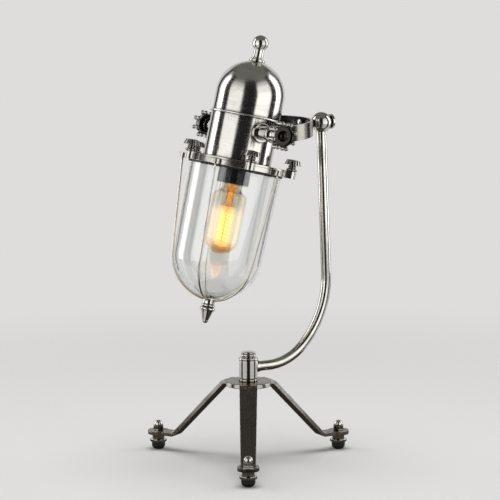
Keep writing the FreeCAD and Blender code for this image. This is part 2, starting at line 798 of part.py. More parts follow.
def make_ball():
    """The ball on the arm, with a neck for the tube, two flats and the hole for the yoke's bolt."""
    neck = S.tube_radius + S.neck_wall
    body = turned(
        "arm_ball",
        [
            at(0, -S.ball_neck),
            at(neck, -S.ball_neck),
            at(neck, -chord_height(S.ball_radius, neck)),
            round_to(S.ball_radius, 0, S.ball_radius),
            round_to(0, S.ball_radius, S.ball_radius),
        ],
    )
    depth = 2 * (S.ball_radius - S.ball_flat)
    for side, forward in ((1, True), (-1, False)):
        face = Drawing(body, "YZ_Plane", move(0, 0, side * S.ball_flat)).circle(0, 0, S.ball_radius)
        cut_depth(body, face, depth, forward=forward)
    cut_through(body, Drawing(body, "YZ_Plane").circle(0, 0, bolt_bore))
    place(body, BALL)


# The yoke


def make_strap():
    """The half hoop of flat strap with rounded ends, drilled for the two pivots and the bolt."""
    body = new_body("yoke_strap")
    centre = -S.yoke_reach
    outer = S.hoop_radius
    inner = S.hoop_radius - S.strap_thick
    round_end = S.strap_width / 2
    end = centre - round_end
    hoop = [
        at(end, -outer),
        at(centre, -outer),
        round_to(centre + outer, 0, outer),
        round_to(centre, outer, outer),
        at(end, outer),
        at(end, inner),
        at(centre, inner),
        hollow_to(centre + inner, 0, inner),
        hollow_to(centre, -inner, inner),
        at(end, -inner),
    ]
    pad(body, Drawing(body, "XY_Plane").path(hoop), S.strap_width, both_ways=True)
    side = Drawing(body, "XZ_Plane")
    side.path(rectangle(end - round_end, -S.strap_width, 0, S.strap_width))
    side.path(
        [
            round_to(centre, -round_end, round_end),
            at(-S.bolt_radius, -round_end),
            at(-S.bolt_radius, round_end),
            at(centre, round_end),
            round_to(end, 0, round_end),
        ]
    )
    side.circle(centre, 0, bolt_bore)
    cut_through(body, side)
    cut_through(body, Drawing(body, "YZ_Plane").circle(0, 0, bolt_bore))
    place(body, BALL)


def make_stem():
    """The tapered stem between the ball's flat and the strap, its bolt and its round nut."""
    start = S.ball_flat + S.turn_gap
    end = S.yoke_reach - S.hoop_radius
    waist = start + (end - start) / 3
    stem = turned(
        "yoke_stem",
        [
            at(bolt_bore, start),
            at(S.stem_tip, start),
            at(S.stem_radius, waist),
            at(S.stem_radius, end),
            at(bolt_bore, end),
        ],
    )
    inner = S.hoop_radius - S.strap_thick
    head_low = S.yoke_reach - chord_height(inner, S.bolt_head_radius)
    bolt_end = -(start + S.bolt_entry)
    head_top = head_low + S.bolt_head_height
    bolt = turned(
        "yoke_bolt",
        [
            at(0, bolt_end),
            at(S.bolt_radius, bolt_end),
            at(S.bolt_radius, head_low),
            at(S.bolt_head_radius, head_low),
            at(S.bolt_head_radius, head_low + S.bolt_head_height / 2),
            round_to(0, head_top, dome_radius(S.bolt_head_radius, S.bolt_head_height / 2)),
        ],
    )
    for body in (stem, bolt):
        place(body, BALL, move(0, 0, 0, ABOUT_Y, -QUARTER))
    cap_side = start + S.yoke_cap_height * 3 / 4
    cap = turned(
        "yoke_cap_nut",
        [
            at(bolt_bore, start),
            at(S.yoke_cap_radius - S.edge, start),
            round_to(S.yoke_cap_radius, start + S.edge, S.edge),
            at(S.yoke_cap_radius, cap_side),
            round_to(0, start + S.yoke_cap_height, dome_radius(S.yoke_cap_radius, S.yoke_cap_height / 4)),
            at(0, start + S.bolt_entry + S.shaft_play),
            at(bolt_bore, start + S.bolt_entry + S.shaft_play),
        ],
    )
    place(cap, BALL, move(0, 0, 0, ABOUT_Y, QUARTER))


# The head's cap


def make_barrel():
    """The straight lower part of the cap, drilled for the pivot studs and the cable."""
    inner = S.cap_radius - S.cap_wall
    body = turned("cap_barrel", rectangle(inner, -S.cap_below, S.cap_radius, S.band_above))
    cut_through(body, Drawing(body, "XZ_Plane").circle(0, 0, bolt_bore))
    gland_side = move(0, -S.gland_drop, 0, ABOUT_Y, S.gland_angle)
    hole = Drawing(body, "YZ_Plane", gland_side).circle(0, 0, S.gland_bore)
    cut_depth(body, hole, 2 * S.cap_radius, forward=True)
    place(body, HEAD)


def make_dome():
    """The domed upper part of the cap, with the hole for the threaded tube at its top."""
    inner = S.cap_radius - S.cap_wall
    hole = S.nipple_radius + S.shaft_play
    body = turned(
        "cap_dome",
        [
            at(inner, S.band_above),
            at(S.cap_radius, S.band_above),
            at(S.cap_radius, S.dome_above),
            round_to(hole, S.dome_above + chord_height(S.cap_radius, hole), S.cap_radius),
            at(hole, S.dome_above + chord_height(inner, hole)),
            hollow_to(inner, S.dome_above, inner),
        ],
    )
    place(body, HEAD)


def make_band():
    """The half-round band over the joint of barrel and dome."""
    half = S.band_height / 2
    inner = S.cap_radius + S.shaft_play
    outer = S.cap_radius + S.band_proud
    outline = [
        at(inner, S.band_above - half),
        *bead(outer, S.band_above - half, S.band_above + half),
        at(inner, S.band_above + half),
    ]
    place(turned("cap_band", outline), HEAD)


def make_top_finial():
    """The finial that is screwed onto the threaded tube and clamps the dome."""
    hole = S.nipple_radius + S.shaft_play
    top = S.dome_above + S.cap_radius
    foot = S.dome_above + chord_height(S.cap_radius, S.finial_base)
    base_top = top + S.finial_base_height / 2
    tier_top = top + S.finial_base_height
    ball_low = S.finial_reach - chord_height(S.finial_ball, S.finial_neck)
    socket = S.nipple_top + S.shaft_play
    body = turned(
        "top_finial",
        [
            at(hole, S.dome_above + chord_height(S.cap_radius, hole)),
            hollow_to(S.finial_base, foot, S.cap_radius),
            at(S.finial_base, base_top - S.edge),
            round_to(S.finial_base - S.edge, base_top, S.edge),
            at(S.finial_tier, base_top),
            at(S.finial_tier, tier_top - S.edge),
            round_to(S.finial_tier - S.edge, tier_top, S.edge),
            at(S.finial_neck, tier_top),
            at(S.finial_neck, ball_low),
            round_to(S.finial_ball, S.finial_reach, S.finial_ball),
            round_to(0, S.finial_reach + S.finial_ball, S.finial_ball),
            at(0, socket),
            at(hole, socket),
        ],
    )
    place(body, HEAD)


def make_nipple():
    """The threaded tube from the finial down to the bulb holder, and the nut under the dome."""
    low = -(S.holder_above + S.holder_socket - S.shaft_play)
    tube = turned("support_nipple", rectangle(S.nipple_bore, low, S.nipple_radius, S.nipple_top))
    inner = S.cap_radius - S.cap_wall
    corner = S.nipple_nut_flats / math.sqrt(3)
    nut_top = S.dome_above + chord_height(inner, corner)
    nut = new_body("nipple_nut")
    hexes = Drawing(nut, "XY_Plane", move(0, 0, nut_top - S.nipple_nut_height))
    hexes.path(hexagon(S.nipple_nut_flats)).circle(0, 0, S.nipple_radius + S.shaft_play)
    pad(nut, hexes, S.nipple_nut_height)
    for body in (tube, nut):
        place(body, HEAD)


# The flange, the cage and the glass

flange_low = -(S.cap_below + S.flange_thick)
cage_ring_low = flange_low - S.ring_height
lip_low = cage_ring_low + S.ledge_height
lip_top = lip_low + S.lip_height
screw_bore = S.screw_radius + S.shaft_play
TURN_TO_SCREWS = move(0, 0, 0, ABOUT_Z, S.screw_phase)


def lug(radius, circle_radius):
    """Plan of a lug that reaches out of the ring and ends in a half circle."""
    root_x = (S.glass_lip + S.seal_gap + S.flange_radius) / 2
    return [
        at(root_x, -radius),
        at(circle_radius, -radius),
        round_to(circle_radius + radius, 0, radius),
        round_to(circle_radius, radius, radius),
        at(root_x, radius),
    ]


def make_cap_flange():
    """The flange that the barrel stands on, with a lug for each thumb screw."""
    inner = S.cap_radius - S.cap_wall
    body = turned("cap_flange", ring(inner, S.flange_radius, flange_low, -S.cap_below, S.edge / 2))
    plan = Drawing(body, "XY_Plane", move(0, 0, flange_low)).path(lug(S.lug_radius, S.screw_circle))
    plan.circle(S.screw_circle, 0, screw_bore)
    around(body, [pad(body, plan, S.flange_thick)], S.screw_count)
    place(body, HEAD, TURN_TO_SCREWS)


def make_cage_ring():
    """The ring that carries the glass on its ledge, with lugs for the screws and tabs for the wires."""
    body = turned(
        "cage_ring",
        [
            at(S.glass_mouth + S.seal_gap, cage_ring_low),
            at(S.flange_radius - S.edge, cage_ring_low),
            round_to(S.flange_radius, cage_ring_low + S.edge, S.edge),
            at(S.flange_radius, flange_low),
            at(S.glass_lip + S.seal_gap, flange_low),
            at(S.glass_lip + S.seal_gap, lip_low),
            at(S.glass_mouth + S.seal_gap, lip_low),
        ],
    )
    plan = Drawing(body, "XY_Plane", move(0, 0, cage_ring_low)).path(lug(S.lug_radius, S.screw_circle))
    plan.circle(S.screw_circle, 0, screw_bore)
    around(body, [pad(body, plan, S.ring_height)], S.screw_count)
    tab_place = move(0, 0, cage_ring_low, ABOUT_Z, HALF_PITCH / S.screw_count.value)
    tab = Drawing(body, "XY_Plane", tab_place).path(lug(S.wire_tab, S.wire_circle))
    tab.circle(S.wire_circle, 0, S.wire_radius + S.shaft_play)
    around(body, [pad(body, tab, S.ring_height)], S.screw_count)
    place(body, HEAD, TURN_TO_SCREWS)


def make_seals():
    """The rubber gasket over the glass's lip and the rubber ring under the cage ring."""
    gasket_inner = S.glass_lip - S.seal_width
    gasket = turned("lip_gasket", rectangle(gasket_inner, lip_top, S.glass_lip, flange_low))
    bezel_low = cage_ring_low - S.bezel_height
    bezel_inner = S.glass_mouth + S.seal_gap
    bezel = turned("glass_bezel", ring(bezel_inner, S.bezel_radius, bezel_low, cage_ring_low, S.edge / 2))
    for body in (gasket, bezel):
        place(body, HEAD)


def make_glass():
    """The clear glass dome, open at the top, with a lip that lies on the cage ring's ledge."""
    centre = -S.glass_deep
    inner_mouth = S.glass_mouth - S.glass_wall
    inner_dome = S.glass_dome - S.glass_wall
    body = turned(
        "glass_dome",
        [
            at(0, centre - S.glass_dome),
            round_to(S.glass_dome, centre, S.glass_dome),
            at(S.glass_mouth, lip_low),
            at(S.glass_lip, lip_low),
            at(S.glass_lip, lip_top),
            at(inner_mouth, lip_top),
            at(inner_dome, centre),
            hollow_to(0, centre - inner_dome, inner_dome),
        ],
    )
    place(body, HEAD)


def make_cage_wire(number):
    """A cage wire: down from its tab, along the glass, and round its end to the cage finial."""
    follow = S.glass_dome + S.wire_gap + S.wire_radius
    start = flange_low - S.wire_inset
    corner = cage_ring_low - S.wire_drop
    rise = corner + S.glass_deep
    distance = root(S.wire_circle * S.wire_circle + rise * rise)
    lean = arc_cosine(follow / distance) - arc_tangent(rise / S.wire_circle)
    reach = S.wire_bend * tangent(lean / 2)
    end_x = S.cage_stud_radius + S.wire_gap / 2
    path = [
        at(S.wire_circle, start),
        at(S.wire_circle, corner + reach),
        hollow_to(S.wire_circle - reach * sine(lean), corner - reach * cosine(lean), S.wire_bend),
        at(follow * cosine(lean), -S.glass_deep - follow * sine(lean)),
        hollow_to(end_x, -S.glass_deep - chord_height(follow, end_x), follow),
    ]
    section_place = move(0, 0, start)
    body = swept(f"cage_wire_{number}", path, "XY_Plane", section_place, (S.wire_radius,), (S.wire_circle, 0))
    step = ROUND_ANGLE / S.screw_count.value
    place(body, HEAD, TURN_TO_SCREWS, move(0, 0, 0, ABOUT_Z, step * (number - 0.5)))


def make_cage_finial():
    """The turned piece that gathers the cage wires under the glass."""
    top = -(S.glass_deep + S.glass_dome + S.wire_gap)
    collar_low = top - S.cage_stud_height
    upper_top = collar_low - S.edge
    upper_low = upper_top - S.cage_stud_height / 2
    lower_top = upper_low - S.edge
    lower_low = lower_top - S.cage_stud_height * 2 / 3
    tip = lower_low - S.cage_tip_length
    body = turned(
        "cage_finial",
        [
            at(0, tip),
            round_to(S.cage_tip_radius, tip + S.cage_tip_radius, S.cage_tip_radius),
            at(S.cage_stud_radius, lower_low),
            *bead(S.cage_ring_large, lower_low, lower_top),
            at(S.cage_stud_radius - S.edge, lower_top),
            at(S.cage_stud_radius - S.edge, upper_low),
            *bead(S.cage_ring_small, upper_low, upper_top),
            at(S.cage_stud_radius - S.edge, upper_top),
            at(S.cage_stud_radius - S.edge, collar_low),
            at(S.cage_stud_radius, collar_low),
            at(S.cage_stud_radius, top),
            at(0, top),
        ],
    )
    place(body, HEAD)


def make_thumb_screw(number):
    """A thumb screw: thread, foot, ringed neck and a fluted head that widens downwards."""
    body = new_body(f"thumb_screw_{number}")
    foot = S.turn_gap - S.cap_below
    foot_top = foot + S.screw_foot_height
    head_low = foot_top + S.screw_neck_height
    ring_low = foot_top + S.screw_neck_height / 4
    ring_high = head_low - S.screw_neck_height / 4
    head_high = head_low + S.screw_head_height
    top = head_high + S.screw_top_height
    revolve(
        body,
        [
            at(0, flange_low - S.screw_bite),
            at(S.screw_radius, flange_low - S.screw_bite),
            at(S.screw_radius, foot),
            *bead(S.screw_foot, foot, foot_top),
            at(S.screw_neck, foot_top),
            at(S.screw_neck, ring_low),
            *bead(S.screw_ring, ring_low, ring_high),
            at(S.screw_neck, ring_high),
            at(S.screw_neck, head_low),
            at(S.screw_skirt, head_low),
            at(S.screw_crown, head_high),
            round_to(0, top, dome_radius(S.screw_crown, S.screw_top_height)),
        ],
    )
    slant = arc_tangent((S.screw_skirt - S.screw_crown) / S.screw_head_height)
    middle_x = (S.screw_skirt + S.screw_crown) / 2
    flute_place = move(middle_x, 0, (head_low + head_high) / 2, ABOUT_Y, -slant)
    flute = Drawing(body, "XY_Plane", flute_place).circle(0, 0, S.flute_radius)
    cutter = cut_depth(body, flute, 2 * S.screw_head_height, both_ways=True)
    around(body, [cutter], S.flute_count)
    step = ROUND_ANGLE / S.screw_count.value
    place(body, HEAD, TURN_TO_SCREWS, move(0, 0, 0, ABOUT_Z, step * (number - 1)), move(S.screw_circle, 0, 0))


# The bulb


def make_holder():
    """The bulb holder, hung from the threaded tube."""
    nipple_hole = S.nipple_radius + S.shaft_play
    mouth = S.base_radius + S.base_gap
    top = -S.holder_above
    socket = top - S.holder_socket
    base_top = S.base_height - S.holder_below
    body = turned(
        "bulb_holder",
        [
            at(mouth, -S.holder_below),
            at(S.holder_radius - S.edge, -S.holder_below),
            round_to(S.holder_radius, S.edge - S.holder_below, S.edge),
            at(S.holder_radius, top - S.holder_round),
            round_to(S.holder_radius - S.holder_round, top, S.holder_round),
            at(nipple_hole, top),
            at(nipple_hole, socket),
            at(0, socket),
            at(0, base_top + S.shaft_play),
            at(mouth, base_top + S.shaft_play),
        ],
    )
    place(body, HEAD)


def make_bulb_base():
    """The bulb's screw base, with its contact at the top."""
    low = -S.holder_below
    top = low + S.base_height
    contact = S.base_radius / 3
    shoulder = top - S.base_height / 5
    body = turned(
        "bulb_base",
        [
            at(0, low),
            at(S.base_radius, low),
            at(S.base_radius, shoulder),
            at(contact, top - S.edge),
            at(contact, top),
            at(0, top),
        ],
    )
    place(body, HEAD)


def make_bulb_glass():
    """The tubular bulb: neck, curved shoulder, straight wall and round end."""
    neck_low = -(S.holder_below + S.bulb_neck)
    wall_top = neck_low - S.shoulder_height
    widen = S.bulb_radius - S.base_radius
    shoulder = (widen * widen + S.shoulder_height * S.shoulder_height) / (4 * widen)
    middle_x = (S.bulb_radius + S.base_radius) / 2
    middle_z = (neck_low + wall_top) / 2
    end_centre = S.bulb_radius - S.bulb_below
    wall = S.bulb_wall
    body = turned(
        "bulb_glass",
        [
            at(0, -S.bulb_below),
            round_to(S.bulb_radius, end_centre, S.bulb_radius),
            at(S.bulb_radius, wall_top),
            round_to(middle_x, middle_z, shoulder),
            hollow_to(S.base_radius, neck_low, shoulder),
            at(S.base_radius, -S.holder_below),
            at(S.base_radius - wall, -S.holder_below),
            at(S.base_radius - wall, neck_low),
            round_to(middle_x - wall, middle_z, shoulder),
            hollow_to(S.bulb_radius - wall, wall_top, shoulder),
            at(S.bulb_radius - wall, end_centre),
            hollow_to(0, wall - S.bulb_below, S.bulb_radius - wall),
        ],
    )
    place(body, HEAD)


def make_bulb_stem():
    """The glass stem sealed into the bulb's neck, the filament's support disc and the thin rod."""
    top = -S.holder_below
    flare_low = top - S.stem_flare
    disc_top = S.edge * 2 - S.stem_below
    body = turned(
        "bulb_stem",
        [
            at(0, -S.rod_below),
            at(S.rod_radius, -S.rod_below),
            at(S.rod_radius, -S.stem_below),
            at(S.stem_disc, -S.stem_below),
            at(S.stem_disc, disc_top),
            at(S.stem_body, disc_top),
            at(S.stem_body, flare_low),
            at(S.stem_flare, top),
            at(0, top),
        ],
    )
    place(body, HEAD)


def coil_point(turn):
    """Centre of the filament's wire after so many turns, and its direction there."""
    turns = S.coil_turns.value
    top = -(S.stem_below.value + S.coil_wire.value + S.shaft_play.value)
    steady = min(turn, turns)
    height = top - steady * S.coil_pitch.value - (turn - steady) * S.coil_last_pitch.value
    angle = 2 * math.pi * turn
    radius = S.coil_radius.value
    slope = S.coil_pitch.value if turn < turns else S.coil_last_pitch.value
    if turn == turns:
        slope = (S.coil_pitch.value + S.coil_last_pitch.value) / 2
    around_x = -2 * math.pi * radius * math.sin(angle)
    around_y = 2 * math.pi * radius * math.cos(angle)
    point = FreeCAD.Vector(radius * math.cos(angle), radius * math.sin(angle), height)
    return point, FreeCAD.Vector(around_x, around_y, -slope).normalize()


def tangent_arcs(start, end):
    """Two arcs that leave start and reach end in their given directions."""
    p0, t0 = start
    p1, t1 = end
    gap = p1 - p0
    both = t0 + t1
    lean = gap.dot(both)
    spread = 2 * (1 - t0.dot(t1))
    reach = (math.sqrt(lean**2 + spread * gap.dot(gap)) - lean) / spread
    joint = (p0 + p1 + (t0 - t1) * reach) * 0.5
    return [arc_from(p0, t0, joint), arc_from(joint, (joint - (p1 - t1 * reach)) * -1, p1)]


def arc_from(start, direction, end):
    """The arc from start to end that leaves along the given direction."""
    direction = FreeCAD.Vector(direction).normalize()
    chord = end - start
    bisector = (FreeCAD.Vector(chord).normalize() - direction)
    half_angle = math.asin(min(bisector.Length / 2, 1)) * 2
    side = chord.normalize().cross(chord.cross(direction)).normalize()
    middle = (start + end) * 0.5
    sagitta = (end - start).Length / 2 * math.tan(half_angle / 2)
    return Part.Arc(start, middle - side * sagitta, end).toShape()


def make_filament():
    """The coiled filament: one round wire, in quarter turns of two tangent arcs each."""
    quarters = round(4 * (S.coil_turns.value + 1))
    nodes = [coil_point(index / 4) for index in range(quarters + 1)]
    edges = []
    for start, end in zip(nodes, nodes[1:]):
        edges += tangent_arcs(start, end)
    spine = Part.Wire(edges)
    first, heading = nodes[0]
    section = Part.Wire([Part.Circle(first, heading, S.coil_wire.value).toShape()])
    body = doc.addObject("Part::Feature", "filament")
    body.Label = "filament"
    body.Shape = spine.makePipeShell([section], True, False)
    place(body, HEAD)
    least_gap = coil_gap(spine)
    print(f"filament: length {spine.Length:.1f}, least gap to itself {least_gap:.2f}")


def coil_gap(spine):
    """Least distance between the surfaces of two turns, from points along the wire."""
    points = spine.discretize(Number=400)
    least = math.inf
    skip = round(len(points) / (S.coil_turns.value + 1) / 2)
    for index, point in enumerate(points):
        for other in points[index + skip :]:
            least = min(least, point.distanceToPoint(other))
    return least - 2 * S.coil_wire.value


# The pivots

strap_outer = S.hoop_radius
strap_inner = S.hoop_radius - S.strap_thick
washer_low = strap_outer + S.turn_gap
washer_high = washer_low + S.washer_height
saddle_low = S.cap_radius - S.saddle_depth


def make_pivot_boss(side, turn):
    """A turned boss between the cap and the yoke, with a saddle that fits the cap."""
    pad_top = S.cap_radius + S.pad_height
    length = strap_inner - S.shank_end
    small_top = S.shank_end + length / 6
    large_low = small_top + length / 12
    large_top = large_low + length / 4
    end = chord_height(strap_inner, S.boss_tail) - S.turn_gap
    body = turned(
        f"pivot_boss_{side}",
        [
            at(bolt_bore, saddle_low),
            at(S.pad_radius, saddle_low),
            at(S.pad_radius, pad_top - S.edge),
            round_to(S.pad_radius - S.edge, pad_top, S.edge),
            at(S.shank_radius, pad_top),
            at(S.shank_radius, S.shank_end),
            *bead(S.boss_ring_small, S.shank_end, small_top),
            at(S.boss_tail, small_top),
            at(S.boss_tail, large_low),
            *bead(S.boss_ring_large, large_low, large_top),
            at(S.boss_tail, large_top),
            at(S.boss_tail, end),
            at(bolt_bore, end),
        ],
    )
    cut_through(body, Drawing(body, "XZ_Plane").circle(0, 0, S.cap_radius))
    place(body, HEAD, turn)


def make_pivot_stud(side, turn):
    """The stud from inside the cap through boss and yoke into the handwheel, and its washer."""
    inner = S.cap_radius - S.cap_wall
    seat = chord_height(inner, S.pivot_head_radius)
    low = seat - S.pivot_head_height
    stud = turned(
        f"pivot_stud_{side}",
        [
            at(0, low),
            at(S.pivot_head_radius, low),
            at(S.pivot_head_radius, seat),
            at(S.bolt_radius, seat),
            at(S.bolt_radius, washer_high + S.turn_gap + S.stud_entry),
            at(0, washer_high + S.turn_gap + S.stud_entry),
        ],
    )
    washer_edge = S.washer_height / 4
    outline = ring(bolt_bore, S.pivot_washer_radius, washer_low, washer_high, washer_edge)
    washer = turned(f"pivot_washer_{side}", outline)
    for body in (stud, washer):
        place(body, HEAD, turn)


def make_handwheel(side, turn):
    """A dished handwheel with double-ball knobs round its rim and a domed centre."""
    low = washer_high + S.turn_gap
    dish = S.wheel_front - S.wheel_dish
    lip = S.wheel_rim - S.edge * 2
    socket = low + S.stud_entry + S.shaft_play
    body = turned(
        f"handwheel_{side}",
        [
            at(bolt_bore, low),
            at(S.wheel_hub, low),
            at(S.wheel_hub, S.wheel_back),
            at(S.wheel_rim - S.edge, S.wheel_back),
            round_to(S.wheel_rim, S.wheel_back + S.edge, S.edge),
            at(S.wheel_rim, S.wheel_front - S.edge),
            round_to(S.wheel_rim - S.edge, S.wheel_front, S.edge),
            at(lip, S.wheel_front),
            at(lip - S.edge, dish),
            at(S.wheel_hub, dish),
            round_to(0, S.wheel_tip, dome_radius(S.wheel_hub, S.wheel_tip - dish)),
            at(0, socket),
            at(bolt_bore, socket),
        ],
    )
    waist = chord_height(S.knob_radius, S.knob_waist)
    knob = revolve(
        body,
        [
            at(0, S.knob_back - S.knob_radius),
            round_to(S.knob_radius, S.knob_back, S.knob_radius),
            round_to(S.knob_waist, S.knob_back + waist, S.knob_radius),
            at(S.knob_waist, S.knob_front - waist),
            round_to(S.knob_radius, S.knob_front, S.knob_radius),
            round_to(0, S.knob_front + S.knob_radius, S.knob_radius),
        ],
        aside=S.knob_circle,
    )
    around(body, [knob], S.knob_count)
    place(body, HEAD, turn, move(0, 0, 0, ABOUT_Z, HALF_PITCH / S.knob_count.value))


def make_gland():
    """The cable gland on the far side of the cap, with a saddle that fits it."""
    foot_top = S.cap_radius + S.gland_height / 3
    neck = S.gland_radius - 2 * S.edge
    top = S.cap_radius + S.gland_height
    body = turned(
        "cable_gland",
        [
            at(S.gland_bore, saddle_low),
            at(S.gland_radius, saddle_low),
            at(S.gland_radius, foot_top),
            at(neck, foot_top),
            at(neck, top - S.edge * 2),
            round_to(neck - S.edge * 2, top, S.edge * 2),
            at(S.gland_bore, top),
        ],
    )
    cut_through(body, Drawing(body, "YZ_Plane").circle(0, 0, S.cap_radius))
    place(body, HEAD, move(0, 0, -S.gland_drop, ABOUT_Z, S.gland_angle), move(0, 0, 0, ABOUT_Y, QUARTER))


def make_lamp():
    """All sub-parts, from the table up."""
    make_plate()
    for number in range(1, round(S.foot_count.value) + 1):
        make_leg(number)
        make_rubber_foot(number)
    make_foot_stacks()
    make_acorn_nuts()
    make_post()
    make_post_cap()
    make_sleeve()
    make_arm_tube()
    make_ball()
    make_strap()
    make_stem()
    make_barrel()
    make_dome()
    make_band()
    make_top_finial()
    make_nipple()
    make_cap_flange()
    make_cage_ring()
    make_seals()
    make_glass()
    for number in range(1, round(S.screw_count.value) + 1):
        make_cage_wire(number)
        make_thumb_screw(number)
    make_cage_finial()
    make_holder()
    make_bulb_base()
    make_bulb_glass()
    make_bulb_stem()
    make_filament()
    for side, turn in SIDES:
        make_pivot_boss(side, turn)
        make_pivot_stud(side, turn)
        make_handwheel(side, turn)
    make_gland()


def write_parts():
    """Checks every object and writes each sub-part under its label."""
    doc.recompute()
    faults = []
    for item in doc.Objects:
        if "Invalid" in item.State or "Error" in item.State:
            faults.append(item.Label)
    parts = [item for item in doc.Objects if item.TypeId in ("PartDesign::Body", "Part::Feature")]
    for item in parts:
        if item.Shape.isNull() or not item.Shape.isValid():
            faults.append(item.Label)
    if faults:
        raise RuntimeError("failed: " + ", ".join(faults))
    os.makedirs("parts", exist_ok=True)
    for item in parts:
        item.Shape.exportStep(f"parts/{item.Label}.step")
        print(f"{item.Label}: {len(item.Shape.Solids)} solid(s), {item.Shape.Volume:.0f} cubic mm")


make_lamp()
write_parts()
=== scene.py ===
"""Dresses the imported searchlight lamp: finishes, the lit filament, the studio and the camera."""

import json
import logging
import math
from dataclasses import dataclass
from enum import Enum
from typing import Any

import bpy
import numpy as np
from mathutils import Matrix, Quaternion, Vector


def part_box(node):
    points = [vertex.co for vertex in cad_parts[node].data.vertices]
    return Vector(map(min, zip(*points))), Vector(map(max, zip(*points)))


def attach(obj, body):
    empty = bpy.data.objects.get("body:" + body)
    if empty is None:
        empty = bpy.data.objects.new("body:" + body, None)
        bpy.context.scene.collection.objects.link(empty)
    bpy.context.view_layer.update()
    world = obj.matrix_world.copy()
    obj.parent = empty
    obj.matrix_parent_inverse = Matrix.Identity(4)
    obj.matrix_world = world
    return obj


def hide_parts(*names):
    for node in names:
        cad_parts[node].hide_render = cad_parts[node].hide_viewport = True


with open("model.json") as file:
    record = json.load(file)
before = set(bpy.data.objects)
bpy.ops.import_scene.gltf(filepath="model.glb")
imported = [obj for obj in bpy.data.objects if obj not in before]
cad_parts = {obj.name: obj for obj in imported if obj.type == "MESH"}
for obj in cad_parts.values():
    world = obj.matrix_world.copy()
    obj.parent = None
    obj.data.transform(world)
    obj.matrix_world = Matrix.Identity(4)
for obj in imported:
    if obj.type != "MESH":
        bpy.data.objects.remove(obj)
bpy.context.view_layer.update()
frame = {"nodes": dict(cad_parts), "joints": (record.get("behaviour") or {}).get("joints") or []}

LOG = logging.getLogger("searchlight")
Point = tuple[float, float, float]
Colour = tuple[float, float, float, float]

MM = 0.001
BLACK = (0.0, 0.0, 0.0, 1.0)
# The dim colours are stains, patina and painted shade in corners.
NICKEL = "#d6d4cf"
NICKEL_DIM = "#54504a"
STEEL = "#746d66"
STEEL_DIM = "#3c3936"
BRASS_DIM = "#5b4524"

# Nearly all values of a noise lie between these two.
NOISE_LOW, NOISE_HIGH = 0.3, 0.7
CORNER_SAMPLES = 6
EDGE_SAMPLES = 4
TO_WORLD = {"vector_type": "VECTOR", "convert_from": "OBJECT", "convert_to": "WORLD"}


def linear(colour: str) -> Colour:
    """Turns an sRGB hex colour such as "#c8c6c1" into linear red, green, blue and full opacity.

    The sRGB curve is a straight line near black and a power above it.

    Args:
        colour: the colour as #rrggbb.

    Returns:
        Four values from 0 to 1.
    """
    parts = [int(colour[i:i + 2], 16) / 255 for i in (1, 3, 5)]
    curved = [p / 12.92 if p <= 0.04045 else ((p + 0.055) / 1.055) ** 2.4 for p in parts]
    return (*curved, 1.0)


def feed(tree: bpy.types.NodeTree, node: bpy.types.Node, inputs: dict[str | int, Any]) -> None:
    """Gives a node its values and its links from other nodes.

    Args:
        tree: the node tree.
        node: the node that gets them.
        inputs: for each of its sockets in use, by name or number, a value, or the socket or node
            that is linked to it. A node stands for its first output in use.
    """
    sockets = [socket for socket in node.inputs if socket.enabled]
    named = {socket.name: socket for socket in reversed(sockets)}
    for key, value in inputs.items():
        socket = sockets[key] if isinstance(key, int) else named[key]
        if isinstance(value, bpy.types.Node):
            value = next(output for output in value.outputs if output.enabled)
        if isinstance(value, bpy.types.NodeSocket):
            tree.links.new(value, socket)
        else:
            socket.default_value = value


def add_node(tree: bpy.types.NodeTree, kind: str, inputs: dict[str | int, Any] | None = None,
             **settings: Any) -> bpy.types.Node:
    """Adds a node with its settings and links.

    Args:
        tree: the node tree.
        kind: the node's type without the word ShaderNode.
        inputs: its values and links, as feed() takes them.
        settings: the node's own properties.

    Returns:
        The new node.
    """
    node = tree.nodes.new("ShaderNode" + kind)
    for name, value in settings.items():
        setattr(node, name, value)
    feed(tree, node, inputs or {})
    return node


def add_object(name: str, data: bpy.types.ID) -> bpy.types.Object:
    """Makes an object of a mesh, a light or a camera and puts it into the scene.

    Args:
        name: the object's name.
        data: the mesh, light or camera.

    Returns:
        The new object.
    """
    made = bpy.data.objects.new(name, data)
    bpy.context.scene.collection.objects.link(made)
    return made


def joint(name: str) -> tuple[Vector, Vector]:
    """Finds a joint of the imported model.

    Args:
        name: the joint's name.

    Returns:
        Its place in metres and the direction of its axis.
    """
    found = next(j for j in frame["joints"] if j["name"] == name)
    return Vector(found["pos_m"]), Vector(found["axis"]).normalized()


@dataclass(frozen=True)
class Axis:
    """A line that parts are turned about or grain lies across: a point on it and its direction."""

    point: Point
    direction: Point

    @staticmethod
    def of(point: Vector, direction: Vector) -> "Axis":
        """The axis through a point in a direction."""
        return Axis(tuple(point), tuple(direction.normalized()))

    def turn(self) -> Quaternion:
        """The turn that brings upright onto this axis."""
        return Vector((0, 0, 1)).rotation_difference(Vector(self.direction))

    def euler(self) -> Point:
        """That turn as three angles."""
        return tuple(self.turn().to_euler())

    def sides(self) -> tuple[np.ndarray, np.ndarray, np.ndarray]:
        """The axis's own x, y and z directions."""
        return tuple(np.array(column) for column in self.turn().to_matrix().col)

    def carry(self, local: np.ndarray) -> np.ndarray:
        """Moves points from the axis's own frame into the row frame."""
        x, y, z = self.sides()
        return np.array(self.point) + local[..., :1] * x + local[..., 1:2] * y + local[..., 2:3] * z

    def place(self, tree: bpy.types.NodeTree, drawn: float = 1.0) -> bpy.types.Node:
        """Gives a material the place on a piece in the axis's own frame.

        Args:
            tree: the material's node tree.
            drawn: how many times a pattern is drawn out along the axis.

        Returns:
            The node with the place.
        """
        here = add_node(tree, "TexCoord").outputs["Object"]
        return add_node(tree, "Mapping", {"Vector": here, "Location": self.point,
                                          "Rotation": self.euler(), "Scale": (1, 1, drawn)},
                        vector_type="TEXTURE")


